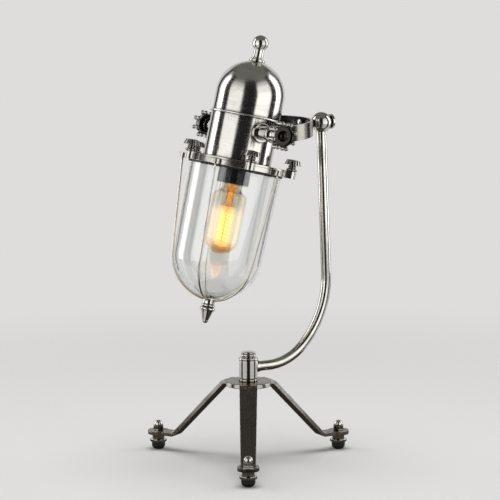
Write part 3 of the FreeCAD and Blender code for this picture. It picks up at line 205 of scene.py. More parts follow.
# Heights on the head are along the axis HEAD, from the pivot, and negative towards the glass.
POST_FOOT, UP = joint("arm_swivel")
BALL_CENTRE, YOKE_WAY = joint("yoke_roll")
PIVOT, PIVOT_WAY = joint("head_tilt")
HEAD_WAY = joint("screw_1_turn")[1]
POST = Axis.of(POST_FOOT, UP)
HEAD = Axis.of(PIVOT, HEAD_WAY)
YOKE = Axis.of(BALL_CENTRE, YOKE_WAY)
YOKE_WIDTH = Axis.of(PIVOT, YOKE_WAY.cross(PIVOT_WAY))
CROSSBAR = Axis.of(PIVOT, PIVOT_WAY)


class Grain(Enum):
    """How a metal surface was finished, and how many times as long as wide its lines are."""

    TURNED = ("rings round the axis, from the lathe", 0)
    LENGTHWISE = ("lines that cross the axis, from the belt", 25)
    POLISHED = ("short faint scratches, from the buffing wheel", 6)

    def length(self) -> int:
        """How many times as long as wide a line is. A ring has no end, so its number isn't used."""
        return self.value[1]


@dataclass(frozen=True)
class Finish:
    """A finish with a name, made once and shared by its pieces."""

    name: str

    def material(self) -> bpy.types.Material:
        """Finds the material of this finish, or builds it the first time.

        Returns:
            The material.
        """
        known = bpy.data.materials.get(self.name)
        if known is not None:
            return known
        made = bpy.data.materials.new(self.name)
        made.use_nodes = True
        self.build(made.node_tree, made.node_tree.nodes["Principled BSDF"])
        return made

    def build(self, tree: bpy.types.NodeTree, shader: bpy.types.Node) -> None:
        """Adds the finish's nodes. Each finish has its own."""
        raise NotImplementedError

    def dress(self, *names: str) -> None:
        """Gives this finish to CAD nodes.

        Args:
            names: names of the nodes.
        """
        for name in names:
            node = frame["nodes"][name]
            node.data.materials.clear()
            node.data.materials.append(self.material())
            LOG.info("%s wears %s", name, self.name)


@dataclass(frozen=True)
class Metal(Finish):
    """A bare or plated metal: its colour, stains, painted shade and patina in the corners, painted
    highlights, grain and rounded edges.

    Attributes:
        colour: the clean metal.
        tarnish_and_shade: the colour of its stains, and of the patina and painted shade in its corners.
        axis: the line that the grain runs round, or that its lines cross.
        grain: how the surface was made.
        roughness: the middle of its range.
        spread: the width of that range.
        line: the spacing of the grain. Real lines are too fine to show, so these are about ten
            times as coarse.
        depth: the height of the grain's bump.
        stretch: how far the grain draws out the highlights, from 0 to 1.
        edge: the radius of the rounded edges.
        corner: how near another surface has to be to paint shade into a corner.
        hollow: how open a place is where it is all painted shade and patina, and where it is all clean.
        smudge: the size of the stains.
        spotted: the values of their noise where a stain starts, and where it is full.
        stain: the most tarnish in a stain.
        grease: how much a stain adds to the roughness.
        shade: the darkest line, as a share of the colour.
        dark_field: the distance from the axis within which the metal is dark.
        side_highlight_colour: the colour of the painted highlight on the faces that side_at names.
        side_at: 1 for the faces that look along the axis, 0 for those that look away from it.
        side_range: how far from side_at a face may look to have all of that colour, or some.
        bright_edge: how strong the painted highlight on an edge is, from 0 to 1.
        level: how level with its face a place is where that highlight is full, and where it ends.
    """

    colour: str
    tarnish_and_shade: str
    axis: Axis
    grain: Grain = Grain.POLISHED
    roughness: float = 0.12
    spread: float = 0.08
    line: float = 1.2 * MM
    depth: float = 0.004 * MM
    stretch: float = 0.0
    edge: float = 0.35 * MM
    corner: float = 3 * MM
    hollow: tuple[float, float] = (0.35, 0.95)
    smudge: float = 22 * MM
    spotted: tuple[float, float] = (0.5, 0.72)
    stain: float = 0.3
    grease: float = 0.35
    shade: float = 0.86
    dark_field: float = 0.0
    side_highlight_colour: str = ""
    side_at: float = 1.0
    side_range: tuple[float, float] = (0.15, 0.4)
    bright_edge: float = 0.0
    level: tuple[float, float] = (0.9, 0.995)

    def outward(self, tree: bpy.types.NodeTree, local: bpy.types.Node) -> bpy.types.Node:
        """The way out from the axis to a place in the axis's own frame."""
        return add_node(tree, "VectorMath", {0: local, 1: (1, 1, 0)}, operation="MULTIPLY")

    def pattern_place(self, tree: bpy.types.NodeTree, local: bpy.types.Node) -> tuple[Any, Any]:
        """Works out where the grain's noise is read: fast across the lines and slow along them.

        Rings are read at the distance from the axis, the height and the way out, lines at the
        place itself, squeezed across them.

        Args:
            tree: the node tree.
            local: the place in the axis's own frame.

        Returns:
            The place for a noise with four coordinates, and its fourth one.
        """
        across = 1 / self.line
        if self.grain is Grain.TURNED:
            out = self.outward(tree, local)
            radius = add_node(tree, "VectorMath", {0: out}, operation="LENGTH")
            way = add_node(tree, "VectorMath", {0: out}, operation="NORMALIZE")
            ways = add_node(tree, "SeparateXYZ", {"Vector": way})
            height = add_node(tree, "SeparateXYZ", {"Vector": local}).outputs["Z"]
            rings = add_node(tree, "Math", {0: radius, 1: across}, operation="MULTIPLY")
            rows = add_node(tree, "Math", {0: height, 1: across}, operation="MULTIPLY")
            place = add_node(tree, "CombineXYZ", {"X": rings, "Y": rows, "Z": ways.outputs["X"]})
            return place, ways.outputs["Y"]
        slow = across / self.grain.length()
        uneven = 1.3 * slow
        place = add_node(tree, "VectorMath", {0: local, 1: (slow, uneven, across)},
                         operation="MULTIPLY")
        return place, 0.0

    def tangent(self, tree: bpy.types.NodeTree, local: bpy.types.Node) -> bpy.types.Node:
        """Works out the direction of the grain, across which the highlights are drawn out.

        Args:
            tree: the node tree.
            local: the place in the axis's own frame.

        Returns:
            The node with the direction in the world.
        """
        if self.grain is Grain.TURNED:
            around = add_node(tree, "VectorMath", {0: (0, 0, 1), 1: local}, operation="CROSS_PRODUCT")
            along = add_node(tree, "Mapping", {"Vector": around, "Rotation": self.axis.euler()},
                             vector_type="VECTOR")
            return add_node(tree, "VectorTransform", {"Vector": along}, **TO_WORLD)
        width = add_node(tree, "VectorTransform", {"Vector": self.axis.direction}, **TO_WORLD)
        facing = add_node(tree, "NewGeometry").outputs["Normal"]
        return add_node(tree, "VectorMath", {0: width, 1: facing}, operation="CROSS_PRODUCT")

    def shaded_and_tarnished(self, tree: bpy.types.NodeTree, local: bpy.types.Node) -> bpy.types.Node:
        """Mixes the clean colour with painted shade and patina in hollows, and darkens the dark field.

        Args:
            tree: the node tree.
            local: the place in the axis's own frame.

        Returns:
            The node with the colour.
        """
        # Painted shade, with some patina: the less open a place is, the darker it gets.
        openness = add_node(tree, "AmbientOcclusion", {"Distance": self.corner},
                            samples=CORNER_SAMPLES).outputs["AO"]
        clean = add_node(tree, "MapRange", {"Value": openness, "From Min": self.hollow[0],
                                            "From Max": self.hollow[1]})
        shaded_and_tarnished = add_node(tree, "Mix", {"Factor": clean, "A": linear(self.tarnish_and_shade),
                                      "B": linear(self.colour)}, data_type="RGBA")
        if self.dark_field:
            radius = add_node(tree, "VectorMath", {0: self.outward(tree, local)}, operation="LENGTH")
            outside = add_node(tree, "MapRange", {"Value": radius, "From Min": self.dark_field,
                                                  "From Max": self.dark_field + MM})
            shaded_and_tarnished = add_node(tree, "Mix", {"Factor": outside, "A": linear(self.tarnish_and_shade), "B": shaded_and_tarnished},
                            data_type="RGBA")
        return shaded_and_tarnished

    def with_side_highlight(self, tree: bpy.types.NodeTree, shaded_and_tarnished: bpy.types.Node) -> bpy.types.Node:
        """Paints a highlight on the faces that side_at names, in their own colour.

        Args:
            tree: the node tree.
            shaded_and_tarnished: the node with the colour of the rest.

        Returns:
            The node with the colour.
        """
        facing = add_node(tree, "NewGeometry").outputs["Normal"]
        width = add_node(tree, "VectorTransform", {"Vector": self.axis.direction}, **TO_WORLD)
        turned = add_node(tree, "VectorMath", {0: width, 1: facing}, operation="DOT_PRODUCT")
        along = add_node(tree, "Math", {0: turned}, operation="ABSOLUTE")
        apart = add_node(tree, "Math", {0: along, 1: self.side_at}, operation="SUBTRACT")
        away = add_node(tree, "Math", {0: apart}, operation="ABSOLUTE")
        side = add_node(tree, "MapRange", {"Value": away, "From Min": self.side_range[0],
                                           "From Max": self.side_range[1],
                                           "To Min": 1.0, "To Max": 0.0})
        return add_node(tree, "Mix", {"Factor": side, "A": shaded_and_tarnished, "B": linear(self.side_highlight_colour)},
                        data_type="RGBA")

    def with_edge_highlight(self, tree: bpy.types.NodeTree, shaded_and_tarnished: bpy.types.Node,
                   rounded: bpy.types.Node) -> bpy.types.Node:
        """Paints a highlight on the edges: an edge is where the rounded normal leans away from the
        face's.

        Args:
            tree: the node tree.
            shaded_and_tarnished: the node with the colour of the faces.
            rounded: the node with the rounded normal.

        Returns:
            The node with the colour.
        """
        facing = add_node(tree, "NewGeometry").outputs["Normal"]
        flatness = add_node(tree, "VectorMath", {0: rounded, 1: facing}, operation="DOT_PRODUCT")
        edge_highlight_share = add_node(tree, "MapRange", {"Value": flatness, "From Min": self.level[0],
                                             "From Max": self.level[1],
                                             "To Min": self.bright_edge, "To Max": 0.0})
        return add_node(tree, "Mix", {"Factor": edge_highlight_share, "A": shaded_and_tarnished, "B": linear(NICKEL)},
                        data_type="RGBA")

    def build(self, tree: bpy.types.NodeTree, shader: bpy.types.Node) -> None:
        """Builds the colour from painted shade, patina, stains and painted highlights, and roughness and
        bump from the grain.

        Args:
            tree: the node tree.
            shader: its Principled shader.
        """
        local = self.axis.place(tree)
        where, fourth = self.pattern_place(tree, local)
        lines = add_node(tree, "TexNoise", {"Vector": where, "W": fourth, "Scale": 1.0,
                                            "Detail": 4.0, "Roughness": 0.7},
                         noise_dimensions="4D")
        smudges = add_node(tree, "TexNoise", {"Vector": local, "Scale": 1 / self.smudge,
                                              "Detail": 5.0, "Roughness": 0.62,
                                              "Distortion": 0.6})
        spots = add_node(tree, "MapRange", {"Value": smudges, "From Min": self.spotted[0],
                                            "From Max": self.spotted[1], "To Max": self.stain})
        rounded = add_node(tree, "Bevel", {"Radius": self.edge}, samples=EDGE_SAMPLES)
        shaded_and_tarnished = self.shaded_and_tarnished(tree, local)
        # Painted highlight on the faces that side_at names.
        if self.side_highlight_colour:
            shaded_and_tarnished = self.with_side_highlight(tree, shaded_and_tarnished)
        shaded_and_tarnished = add_node(tree, "Mix", {"Factor": spots, "A": shaded_and_tarnished, "B": linear(self.tarnish_and_shade)},
                        data_type="RGBA")
        # Painted highlight on the edges.
        if self.bright_edge:
            shaded_and_tarnished = self.with_edge_highlight(tree, shaded_and_tarnished, rounded)
        shade = add_node(tree, "MapRange", {"Value": lines, "From Min": NOISE_LOW,
                                            "From Max": NOISE_HIGH, "To Min": self.shade})
        streaked = add_node(tree, "VectorMath", {0: shaded_and_tarnished, "Scale": shade}, operation="SCALE")
        ridged = add_node(tree, "MapRange", {"Value": lines, "From Min": NOISE_LOW,
                                             "From Max": NOISE_HIGH,
                                             "To Min": self.roughness - self.spread / 2,
                                             "To Max": self.roughness + self.spread / 2})
        greasy = add_node(tree, "Math", {0: spots, 1: self.grease, 2: ridged},
                          operation="MULTIPLY_ADD")
        bump = add_node(tree, "Bump", {"Height": lines, "Distance": self.depth, "Strength": 1.0,
                                       "Normal": rounded})
        feed(tree, shader, {"Base Color": streaked, "Roughness": greasy, "Normal": bump,
                            "Metallic": 1.0})
        if self.stretch:
            feed(tree, shader, {"Anisotropic": self.stretch, "Anisotropic Rotation": 0.25,
                                "Tangent": self.tangent(tree, local)})


@dataclass(frozen=True)
class MouldedRubber(Finish):
    """Black rubber from a mould: a matt grainy skin with grey dust on its upper sides.

    Attributes:
        colour: the rubber.
        dust: the dust on it.
        pebble: the size of the mould's grain, which is drawn coarser than it is so that it shows.
        patch: the size of its dull and less dull patches.
    """

    colour: str = "#161616"
    dust: str = "#4a4844"
    pebble: float = 0.8 * MM
    patch: float = 9 * MM

    def build(self, tree: bpy.types.NodeTree, shader: bpy.types.Node) -> None:
        """Builds a fine pebbled bump, and dust where the surface faces up.

        Args:
            tree: the node tree.
            shader: its Principled shader.
        """
        place = add_node(tree, "TexCoord").outputs["Object"]
        pebbles = add_node(tree, "TexNoise", {"Vector": place, "Scale": 1 / self.pebble,
                                              "Detail": 3.0})
        patches = add_node(tree, "TexNoise", {"Vector": place, "Scale": 1 / self.patch,
                                              "Detail": 4.0})
        facing = add_node(tree, "NewGeometry").outputs["Normal"]
        height = add_node(tree, "SeparateXYZ", {"Vector": facing}).outputs["Z"]
        upward = add_node(tree, "MapRange", {"Value": height, "From Min": 0.2, "To Max": 0.6})
        dusty = add_node(tree, "Math", {0: upward, 1: patches}, operation="MULTIPLY")
        skin = add_node(tree, "Mix", {"Factor": dusty, "A": linear(self.colour),
                                      "B": linear(self.dust)}, data_type="RGBA")
        rough = add_node(tree, "MapRange", {"Value": patches, "From Min": NOISE_LOW,
                                            "From Max": NOISE_HIGH,
                                            "To Min": 0.42, "To Max": 0.62})
        bump = add_node(tree, "Bump", {"Height": pebbles, "Distance": 0.05 * MM, "Strength": 0.6})
        feed(tree, shader, {"Base Color": skin, "Roughness": rough, "Normal": bump, "IOR": 1.52})


@dataclass(frozen=True)
class PhenolicResin(Finish):
    """Polished black phenolic resin, pressed in a mould: deep gloss, faint flow marks and a cool sheen.

    Attributes:
        colour: the resin.
        marbled: its flow marks.
        flow: the width of a flow mark.
        edge: the radius of the rounded edges.
    """

    colour: str = "#0c0c0f"
    marbled: str = "#18181d"
    flow: float = 12 * MM
    edge: float = 0.4 * MM

    def build(self, tree: bpy.types.NodeTree, shader: bpy.types.Node) -> None:
        """Builds flow marks from a noise drawn out along the head, and wipe marks in the gloss.

        Args:
            tree: the node tree.
            shader: its Principled shader.
        """
        local = HEAD.place(tree, drawn=3.0)
        flow = add_node(tree, "TexNoise", {"Vector": local, "Scale": 1 / self.flow, "Detail": 3.0,
                                           "Distortion": 0.8})
        skin = add_node(tree, "Mix", {"Factor": flow, "A": linear(self.colour),
                                      "B": linear(self.marbled)}, data_type="RGBA")
        rough = add_node(tree, "MapRange", {"Value": flow, "From Min": NOISE_LOW,
                                            "From Max": NOISE_HIGH, "To Min": 0.1, "To Max": 0.2})
        rounded = add_node(tree, "Bevel", {"Radius": self.edge}, samples=EDGE_SAMPLES)
        bump = add_node(tree, "Bump", {"Height": flow, "Distance": 0.006 * MM, "Strength": 0.5,
                                       "Normal": rounded})
        feed(tree, shader, {"Base Color": skin, "Roughness": rough, "Normal": bump, "IOR": 1.6})


@dataclass(frozen=True)
class Glass(Finish):
    """Blown glass: clear or tinted, with slow waves down its length and a little dust.

    Attributes:
        tint: the glass where it is clean.
        tint_patch: its colour where the haze is thick.
        tint_edge: its colour where the wall is seen at a slant.
        slanted: the slants where that colour starts, and where it is full.
        wave: the width of its waves.
        wave_depth: the height of the bump that they make.
        haze: the size of a patch of dust.
        drawn: how many times waves and haze are as long as wide.
        roughness: the clean surface.
        film: how much the haze adds to that.
        index: the glass's index of refraction.
        gloss: the index of its skin, higher than that, so that it mirrors the boxes as brightly.
        tip_tint: its colour at the bulb's tip.
        tip: the heights where that colour starts, and where it is full.
        glow: the colour of the filament's light, painted into the glass.
        painted_glow_strength: how bright that painted glow is.
        painted_glow_range: the heights between which the glow is painted.
    """

    tint: str = "#ffffff"
    tint_patch: str = "#fafcfb"
    tint_edge: str = "#a9b2b0"
    slanted: tuple[float, float] = (0.25, 0.95)
    wave: float = 14 * MM
    wave_depth: float = 0.05 * MM
    haze: float = 30 * MM
    drawn: float = 5.0
    roughness: float = 0.0
    film: float = 0.03
    index: float = 1.47
    gloss: float = 1.7
    tip_tint: str = ""
    tip: tuple[float, float] = (0.0, 0.0)
    glow: str = "#ffe6a8"
    painted_glow_strength: float = 0.0
    painted_glow_range: tuple[float, float] = (0.0, 0.0)

    def dress(self, *names: str) -> None:
        """Gives this glass to CAD nodes and lets the studio's light through them.

        Args:
            names: names of the nodes.
        """
        super().dress(*names)
        for name in names:
            frame["nodes"][name].visible_shadow = False

    def painted_glow(self, tree: bpy.types.NodeTree, height: bpy.types.NodeSocket,
              slant: bpy.types.NodeSocket) -> bpy.types.Node:
        """Works out the painted glow: full in the middle of its range and none at its ends and outline.

        Args:
            tree: the node tree.
            height: the height along the head's axis.
            slant: how far the wall is seen at a slant.

        Returns:
            The node with the strength.
        """
        top, bottom = self.painted_glow_range
        share = add_node(tree, "MapRange", {"Value": height, "From Min": top, "From Max": bottom,
                                            "To Min": -1.0})
        far = add_node(tree, "Math", {0: share}, operation="ABSOLUTE")
        lit = add_node(tree, "MapRange", {"Value": far, "From Min": 0.5,
                                          "To Min": self.painted_glow_strength, "To Max": 0.0},
                       interpolation_type="SMOOTHSTEP")
        inner = add_node(tree, "MapRange", {"Value": slant, "From Min": 0.05, "From Max": 0.4,
                                            "To Min": 1.0, "To Max": 0.0})
        return add_node(tree, "Math", {0: lit, 1: inner}, operation="MULTIPLY")

    def build(self, tree: bpy.types.NodeTree, shader: bpy.types.Node) -> None:
        """Builds waves drawn out along the head, and a tint that deepens at the outline.

        Args:
            tree: the node tree.
            shader: its Principled shader.
        """
        local = HEAD.place(tree, self.drawn)
        waves = add_node(tree, "TexNoise", {"Vector": local, "Scale": 1 / self.wave,
                                            "Detail": 1.0})
        haze = add_node(tree, "TexNoise", {"Vector": local, "Scale": 1 / self.haze, "Detail": 5.0})
        clear = add_node(tree, "Mix", {"Factor": haze, "A": linear(self.tint),
                                       "B": linear(self.tint_patch)}, data_type="RGBA")
        slant = add_node(tree, "LayerWeight", {"Blend": 0.25}).outputs["Facing"]
        deep = add_node(tree, "MapRange", {"Value": slant, "From Min": self.slanted[0],
                                           "From Max": self.slanted[1]})
        height = add_node(tree, "SeparateXYZ", {"Vector": HEAD.place(tree)}).outputs["Z"]
        if self.tip_tint:
            low = add_node(tree, "MapRange", {"Value": height, "From Min": self.tip[0],
                                              "From Max": self.tip[1]},
                           interpolation_type="SMOOTHSTEP")
            clear = add_node(tree, "Mix", {"Factor": low, "A": clear, "B": linear(self.tip_tint)},
                             data_type="RGBA")
        colour = add_node(tree, "Mix", {"Factor": deep, "A": clear, "B": linear(self.tint_edge)},
                          data_type="RGBA")
        bump = add_node(tree, "Bump", {"Height": waves, "Distance": self.wave_depth,
                                       "Strength": 1.0})
        feed(tree, shader, {"Base Color": colour, "Roughness": self.roughness, "Normal": bump,
                            "Transmission Weight": 1.0, "IOR": self.index, "Coat Weight": 1.0,
                            "Coat IOR": self.gloss, "Coat Roughness": 0.02})
        if self.film:
            film = add_node(tree, "MapRange", {"Value": haze, "From Min": 0.45, "From Max": 0.75,
                                               "To Min": self.roughness,
                                               "To Max": self.roughness + self.film})
            feed(tree, shader, {"Roughness": film})
        # Painted glow: the glass gives off the filament's light itself.
        if self.painted_glow_strength:
            feed(tree, shader, {"Emission Color": linear(self.glow),
                                "Emission Strength": self.painted_glow(tree, height, slant)})


@dataclass(frozen=True)
class GlowingWire(Finish):
    """Carbon filament at working heat: yellow-white in the middle, orange where it cools.

    Attributes:
        hot: its colour in the middle.
        cool: its colour at the ends.
        strength: how bright the middle is.
        ends: the brightness of the ends, as a share of that.
        middle: the height of its middle.
        full: how far from the middle it is still hot.
        reach: how far from the middle it has cooled.
        uneven: how far its noise shifts those two.
        patch: the size of the noise.
    """

    hot: str = "#ffc43a"
    cool: str = "#ff9326"
    strength: float = 2.1
    ends: float = 0.5
    middle: float = -128 * MM
    full: float = 18 * MM
    reach: float = 34 * MM
    uneven: float = 6 * MM
    patch: float = 2.5 * MM

    def build(self, tree: bpy.types.NodeTree, shader: bpy.types.Node) -> None:
        """Builds heat that falls off along the head's axis towards both ends, a little uneven.

        Args:
            tree: the node tree.
            shader: its Principled shader.
        """
        local = HEAD.place(tree)
        height = add_node(tree, "SeparateXYZ", {"Vector": local}).outputs["Z"]
        offset = add_node(tree, "Math", {0: height, 1: self.middle}, operation="SUBTRACT")
        away = add_node(tree, "Math", {0: offset}, operation="ABSOLUTE")
        noise = add_node(tree, "TexNoise", {"Vector": local, "Scale": 1 / self.patch,
                                            "Detail": 2.0})
        shifted = add_node(tree, "Math", {0: noise, 1: self.uneven, 2: away},
                           operation="MULTIPLY_ADD")
        heat = add_node(tree, "MapRange", {"Value": shifted, "From Min": self.full,
                                           "From Max": self.reach, "To Min": 1.0, "To Max": 0.0})
        colour = add_node(tree, "Mix", {"Factor": heat, "A": linear(self.cool),
                                        "B": linear(self.hot)}, data_type="RGBA")
        glow = add_node(tree, "MapRange", {"Value": heat, "To Min": self.strength * self.ends,
                                           "To Max": self.strength})
        feed(tree, shader, {"Base Color": colour, "Emission Color": colour,
                            "Emission Strength": glow, "Roughness": 0.5})


@dataclass(frozen=True)
class Card(Finish):
    """Matt card for the studio, as dark as its colour in any light."""

    colour: str

    def build(self, tree: bpy.types.NodeTree, shader: bpy.types.Node) -> None:
        """Builds a plain colour that only reflections find.

        What looks straight through glass has no glossy bounce behind it, and there the card is
        clear.

        Args:
            tree: the node tree.
            shader: its Principled shader.
        """
        bounces = add_node(tree, "LightPath").outputs["Glossy Depth"]
        reflected = add_node(tree, "Math", {0: bounces, 1: 1.0}, operation="MINIMUM")
        feed(tree, shader, {"Alpha": reflected, "Base Color": BLACK, "Specular IOR Level": 0.0,
                            "Emission Color": linear(self.colour), "Emission Strength": 1.0})


@dataclass(frozen=True)
class PaleFloor(Finish):
    """Pale matt floor: it keeps the lamp's shadow and fades to the background's own colour.

    Attributes:
        colour: the colour of floor and background.
        near: how far from the lamp the fading starts, in metres.
        far: how far from it the floor is one with the background.
    """

    colour: str
    near: float = 0.35
    far: float = 1.3

    def build(self, tree: bpy.types.NodeTree, shader: bpy.types.Node) -> None:
        """Builds a floor that is lit near the lamp and gives its colour by itself further out.

        Args:
            tree: the node tree.
            shader: its Principled shader.
        """
        place = add_node(tree, "TexCoord").outputs["Object"]
        distance = add_node(tree, "VectorMath", {0: place}, operation="LENGTH")
        fade = add_node(tree, "MapRange", {"Value": distance, "From Min": self.near,
                                           "From Max": self.far}, interpolation_type="SMOOTHSTEP")
        pale = linear(self.colour)
        lit = add_node(tree, "Mix", {"Factor": fade, "A": pale, "B": BLACK}, data_type="RGBA")
        given = add_node(tree, "Mix", {"Factor": fade, "A": BLACK, "B": pale}, data_type="RGBA")
        feed(tree, shader, {"Base Color": lit, "Emission Color": given, "Emission Strength": 1.0,
                            "Specular IOR Level": 0.0, "Roughness": 0.9})


def closed_grid(rows: int, columns: int) -> np.ndarray:
    """Faces of a grid whose columns close on themselves.

    Args:
        rows: points along the open way.
        columns: points round the closed way.

    Returns:
        One row of four point numbers for each face.
    """
    row, column = np.meshgrid(np.arange(rows - 1), np.arange(columns), indexing="ij")
    right = (column + 1) % columns
    quads = [row * columns + column, row * columns + right,
             (row + 1) * columns + right, (row + 1) * columns + column]
    return np.stack(quads, -1).reshape(-1, 4)


def make_piece(name: str, rings: np.ndarray, body: str, finish: Finish) -> bpy.types.Object:
    """Makes a closed piece from rings of points, with a pole at each end.

    The skin joins each ring to the next; each end ring is closed by a fan to its own middle.

    Args:
        name: the piece's name.
        rings: points in the row frame, as rings by points by three.
        body: the body it rides on.
        finish: its finish.

    Returns:
        The new object.
    """
    count, sides = rings.shape[:2]
    poles = rings[[0, -1]].mean(1)
    points = np.concatenate([rings.reshape(-1, 3), poles])
    around = np.arange(sides)
    after = (around + 1) % sides
    first, last = count * sides, count * sides + 1
    skin = closed_grid(count, sides)
    low = np.stack([after, around, np.full(sides, first)], -1)
    top = (count - 1) * sides
    high = np.stack([top + around, top + after, np.full(sides, last)], -1)
    mesh = bpy.data.meshes.new(name)
    mesh.from_pydata(points, [], [*skin.tolist(), *low.tolist(), *high.tolist()])
    mesh.shade_smooth()
    mesh.validate()
    mesh.materials.append(finish.material())
    piece = add_object(name, mesh)
    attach(piece, body)
    LOG.info("%s: %d faces", name, len(mesh.polygons))
    return piece


def wire_rings(path: np.ndarray, radius: float, side: np.ndarray, sides: int) -> np.ndarray:
    """Carries a circle along a path.

    At each point of the path the circle lies across the path's direction, which is the change
    from one point to the next. Its first point lies towards the given side.

    Args:
        path: points of the wire's centre line.
        radius: the wire's radius.
        side: a direction for each point, or one for all, that isn't along the path.
        sides: points round the wire.

    Returns:
        Rings of points for make_piece.
    """
    along = np.gradient(path, axis=0)
    along /= np.linalg.norm(along, axis=1, keepdims=True)
    side = np.broadcast_to(side, path.shape)
    first = side - (side * along).sum(1, keepdims=True) * along
    first /= np.linalg.norm(first, axis=1, keepdims=True)
    second = np.cross(along, first)
    angle = np.linspace(0, 2 * np.pi, sides, endpoint=False)[:, None]
    circle = np.cos(angle) * first[:, None] + np.sin(angle) * second[:, None]
    return path[:, None] + radius * circle


@dataclass(frozen=True)
class Base:
    """The tripod: plate, three bent legs with their feet, and the post with its cap."""

    legs: int = 3

    def dress(self) -> None:
        """Nickel on what was turned, ground steel on plate and legs, rubber under the feet."""
        # Fine rings from the lathe, which draw the highlights out along the post.
        Metal("Turned nickel of the post", NICKEL, NICKEL_DIM, POST, Grain.TURNED, roughness=0.1,
              stretch=0.4).dress("post", "post_collar", "post_cap", "post_nut")
        # A dull dark top with soft sectors of light, and a painted highlight on its rim and edges.
        Metal("Disc-ground steel of the plate", "#6a6661", STEEL_DIM, POST, Grain.TURNED,
              roughness=0.24, spread=0.14, line=0.9 * MM, depth=0.006 * MM, stretch=0.6,
              side_highlight_colour=NICKEL, side_at=0.0, edge=0.6 * MM, bright_edge=0.8).dress("tripod_plate")
        # A thin warm line between the nickel pieces.
        Metal("Plain brass of the sliding washer", "#c09a55", BRASS_DIM, POST, Grain.TURNED,
              roughness=0.25).dress("swivel_washer")
        for number in range(1, self.legs + 1):
            self.dress_leg(number)
        # Small mirrors with painted shade where they meet.
        Metal("Buffed nickel of the foot fittings", NICKEL, NICKEL_DIM, POST, roughness=0.11,
              corner=2 * MM).dress("foot_flanges", "foot_spacers", "foot_studs", "foot_acorn_nuts")

    def dress_leg(self, number: int) -> None:
        """Dresses a leg, whose grain runs along it, and its foot.

        Args:
            number: the leg's number.
        """
        low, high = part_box(f"rubber_foot_{number}")
        out = (low + high) / 2 - POST_FOOT
        out.z = 0
        across = Axis.of(POST_FOOT, UP.cross(out))
        # Lines from the belt on a dull dark strap, with painted highlights on its sides and edges.
        Metal(f"Belt-ground steel of leg {number}", STEEL, STEEL_DIM, across, Grain.LENGTHWISE,
              roughness=0.24, spread=0.14, line=1.3 * MM, depth=0.006 * MM, stretch=0.6, stain=0.5,
              side_highlight_colour="#c9c6c0", edge=MM, bright_edge=0.9).dress(f"leg_{number}")
        # A matt black pad without highlights.
        MouldedRubber("Moulded black rubber").dress(f"rubber_foot_{number}")


@dataclass(frozen=True)
class Arm:
    """The swivel sleeve on the post, the bent tube and the ball at its end."""

    def dress(self) -> None:
        """Buffed nickel all over."""
        # Fine rings and sharp upright highlights.
        Metal("Turned nickel of the sleeve", NICKEL, NICKEL_DIM, POST, Grain.TURNED, roughness=0.09,
              stretch=0.4).dress("swivel_sleeve")
        # Nearly a mirror: light and dark lines run the length of the tube.
        Metal("Buffed nickel of the arm", NICKEL, NICKEL_DIM, Axis.of(BALL_CENTRE, PIVOT_WAY),
              roughness=0.1, spread=0.05).dress("arm_tube", "arm_ball")


@dataclass(frozen=True)
class Yoke:
    """The strap that carries the head, its stem and its bolt through the ball."""

    def dress(self) -> None:
        """A belt-ground strap with buffed fittings."""
        # Lines from the belt along the strap. Its hollow inner side has painted shade, nearly black, and
        # its edges a painted highlight.
        Metal("Belt-ground nickel of the strap", "#85827d", "#1c1b1a", YOKE_WIDTH, Grain.LENGTHWISE,
              roughness=0.2, spread=0.14, line=1.0 * MM, depth=0.006 * MM, stretch=0.6,
              corner=90 * MM, bright_edge=0.8).dress("yoke_strap")
        # Fine rings and bright round highlights.
        Metal("Turned nickel of the yoke bolt", NICKEL, NICKEL_DIM, YOKE, Grain.TURNED,
              roughness=0.1, stretch=0.3).dress("yoke_stem", "yoke_bolt", "yoke_cap_nut")


@dataclass(frozen=True)
class Head:
    """The spun cap with its finial, the flange, the ring, the glass and its cage of wires."""

    wires: int = 5

    def dress(self) -> None:
        """Spun nickel on the cap, sanded nickel on flange and ring, clear glass below."""
        # Rings from spinning, which draw the light out into soft bands down the barrel, with painted
        # shade in its corners.
        Metal("Spun nickel of the cap", NICKEL, "#38352f", HEAD, Grain.TURNED, roughness=0.17,
              spread=0.1, line=1.6 * MM, stretch=0.75, hollow=(0.55, 0.97),
              stain=0.18).dress("cap_barrel", "cap_dome")
        # A pale soft line round the joint.
        Metal("Buffed nickel of the band", "#efede9", NICKEL_DIM, HEAD, Grain.TURNED, roughness=0.24,
              corner=2.5 * MM, stain=0.1).dress("cap_band")
        # Small mirrors with painted shade in their grooves.
        Metal("Buffed nickel of the turned trim", NICKEL, "#33302c", HEAD, Grain.TURNED,
              roughness=0.08, stretch=0.2, hollow=(0.5, 0.97)).dress(
                  "top_finial", "cage_finial", "support_nipple", "nipple_nut")
        # Coarser rings and more stains than on the cap.
        Metal("Sanded nickel of the flange", "#cfccc7", NICKEL_DIM, HEAD, Grain.TURNED,
              roughness=0.2, spread=0.2, line=0.8 * MM, depth=0.012 * MM, stretch=0.4,
              stain=0.6).dress("cap_flange", "cage_ring")
        # Thin light lines over the glass.
        Metal("Drawn steel wire", "#e6e2d8", NICKEL_DIM, HEAD, roughness=0.2).dress(
            *[f"cage_wire_{number}" for number in range(1, self.wires + 1)])
        # A small mirror on the back of the cap.
        Metal("Buffed nickel of the cable gland", NICKEL, NICKEL_DIM, HEAD).dress("cable_gland")
        # A matt black line at the glass's rim.
        MouldedRubber("Moulded black rubber").dress("lip_gasket", "glass_bezel")
        # Clear in the middle and grey at the outline, with long bright mirrored strips.
        Glass("Blown clear glass").dress("glass_dome")


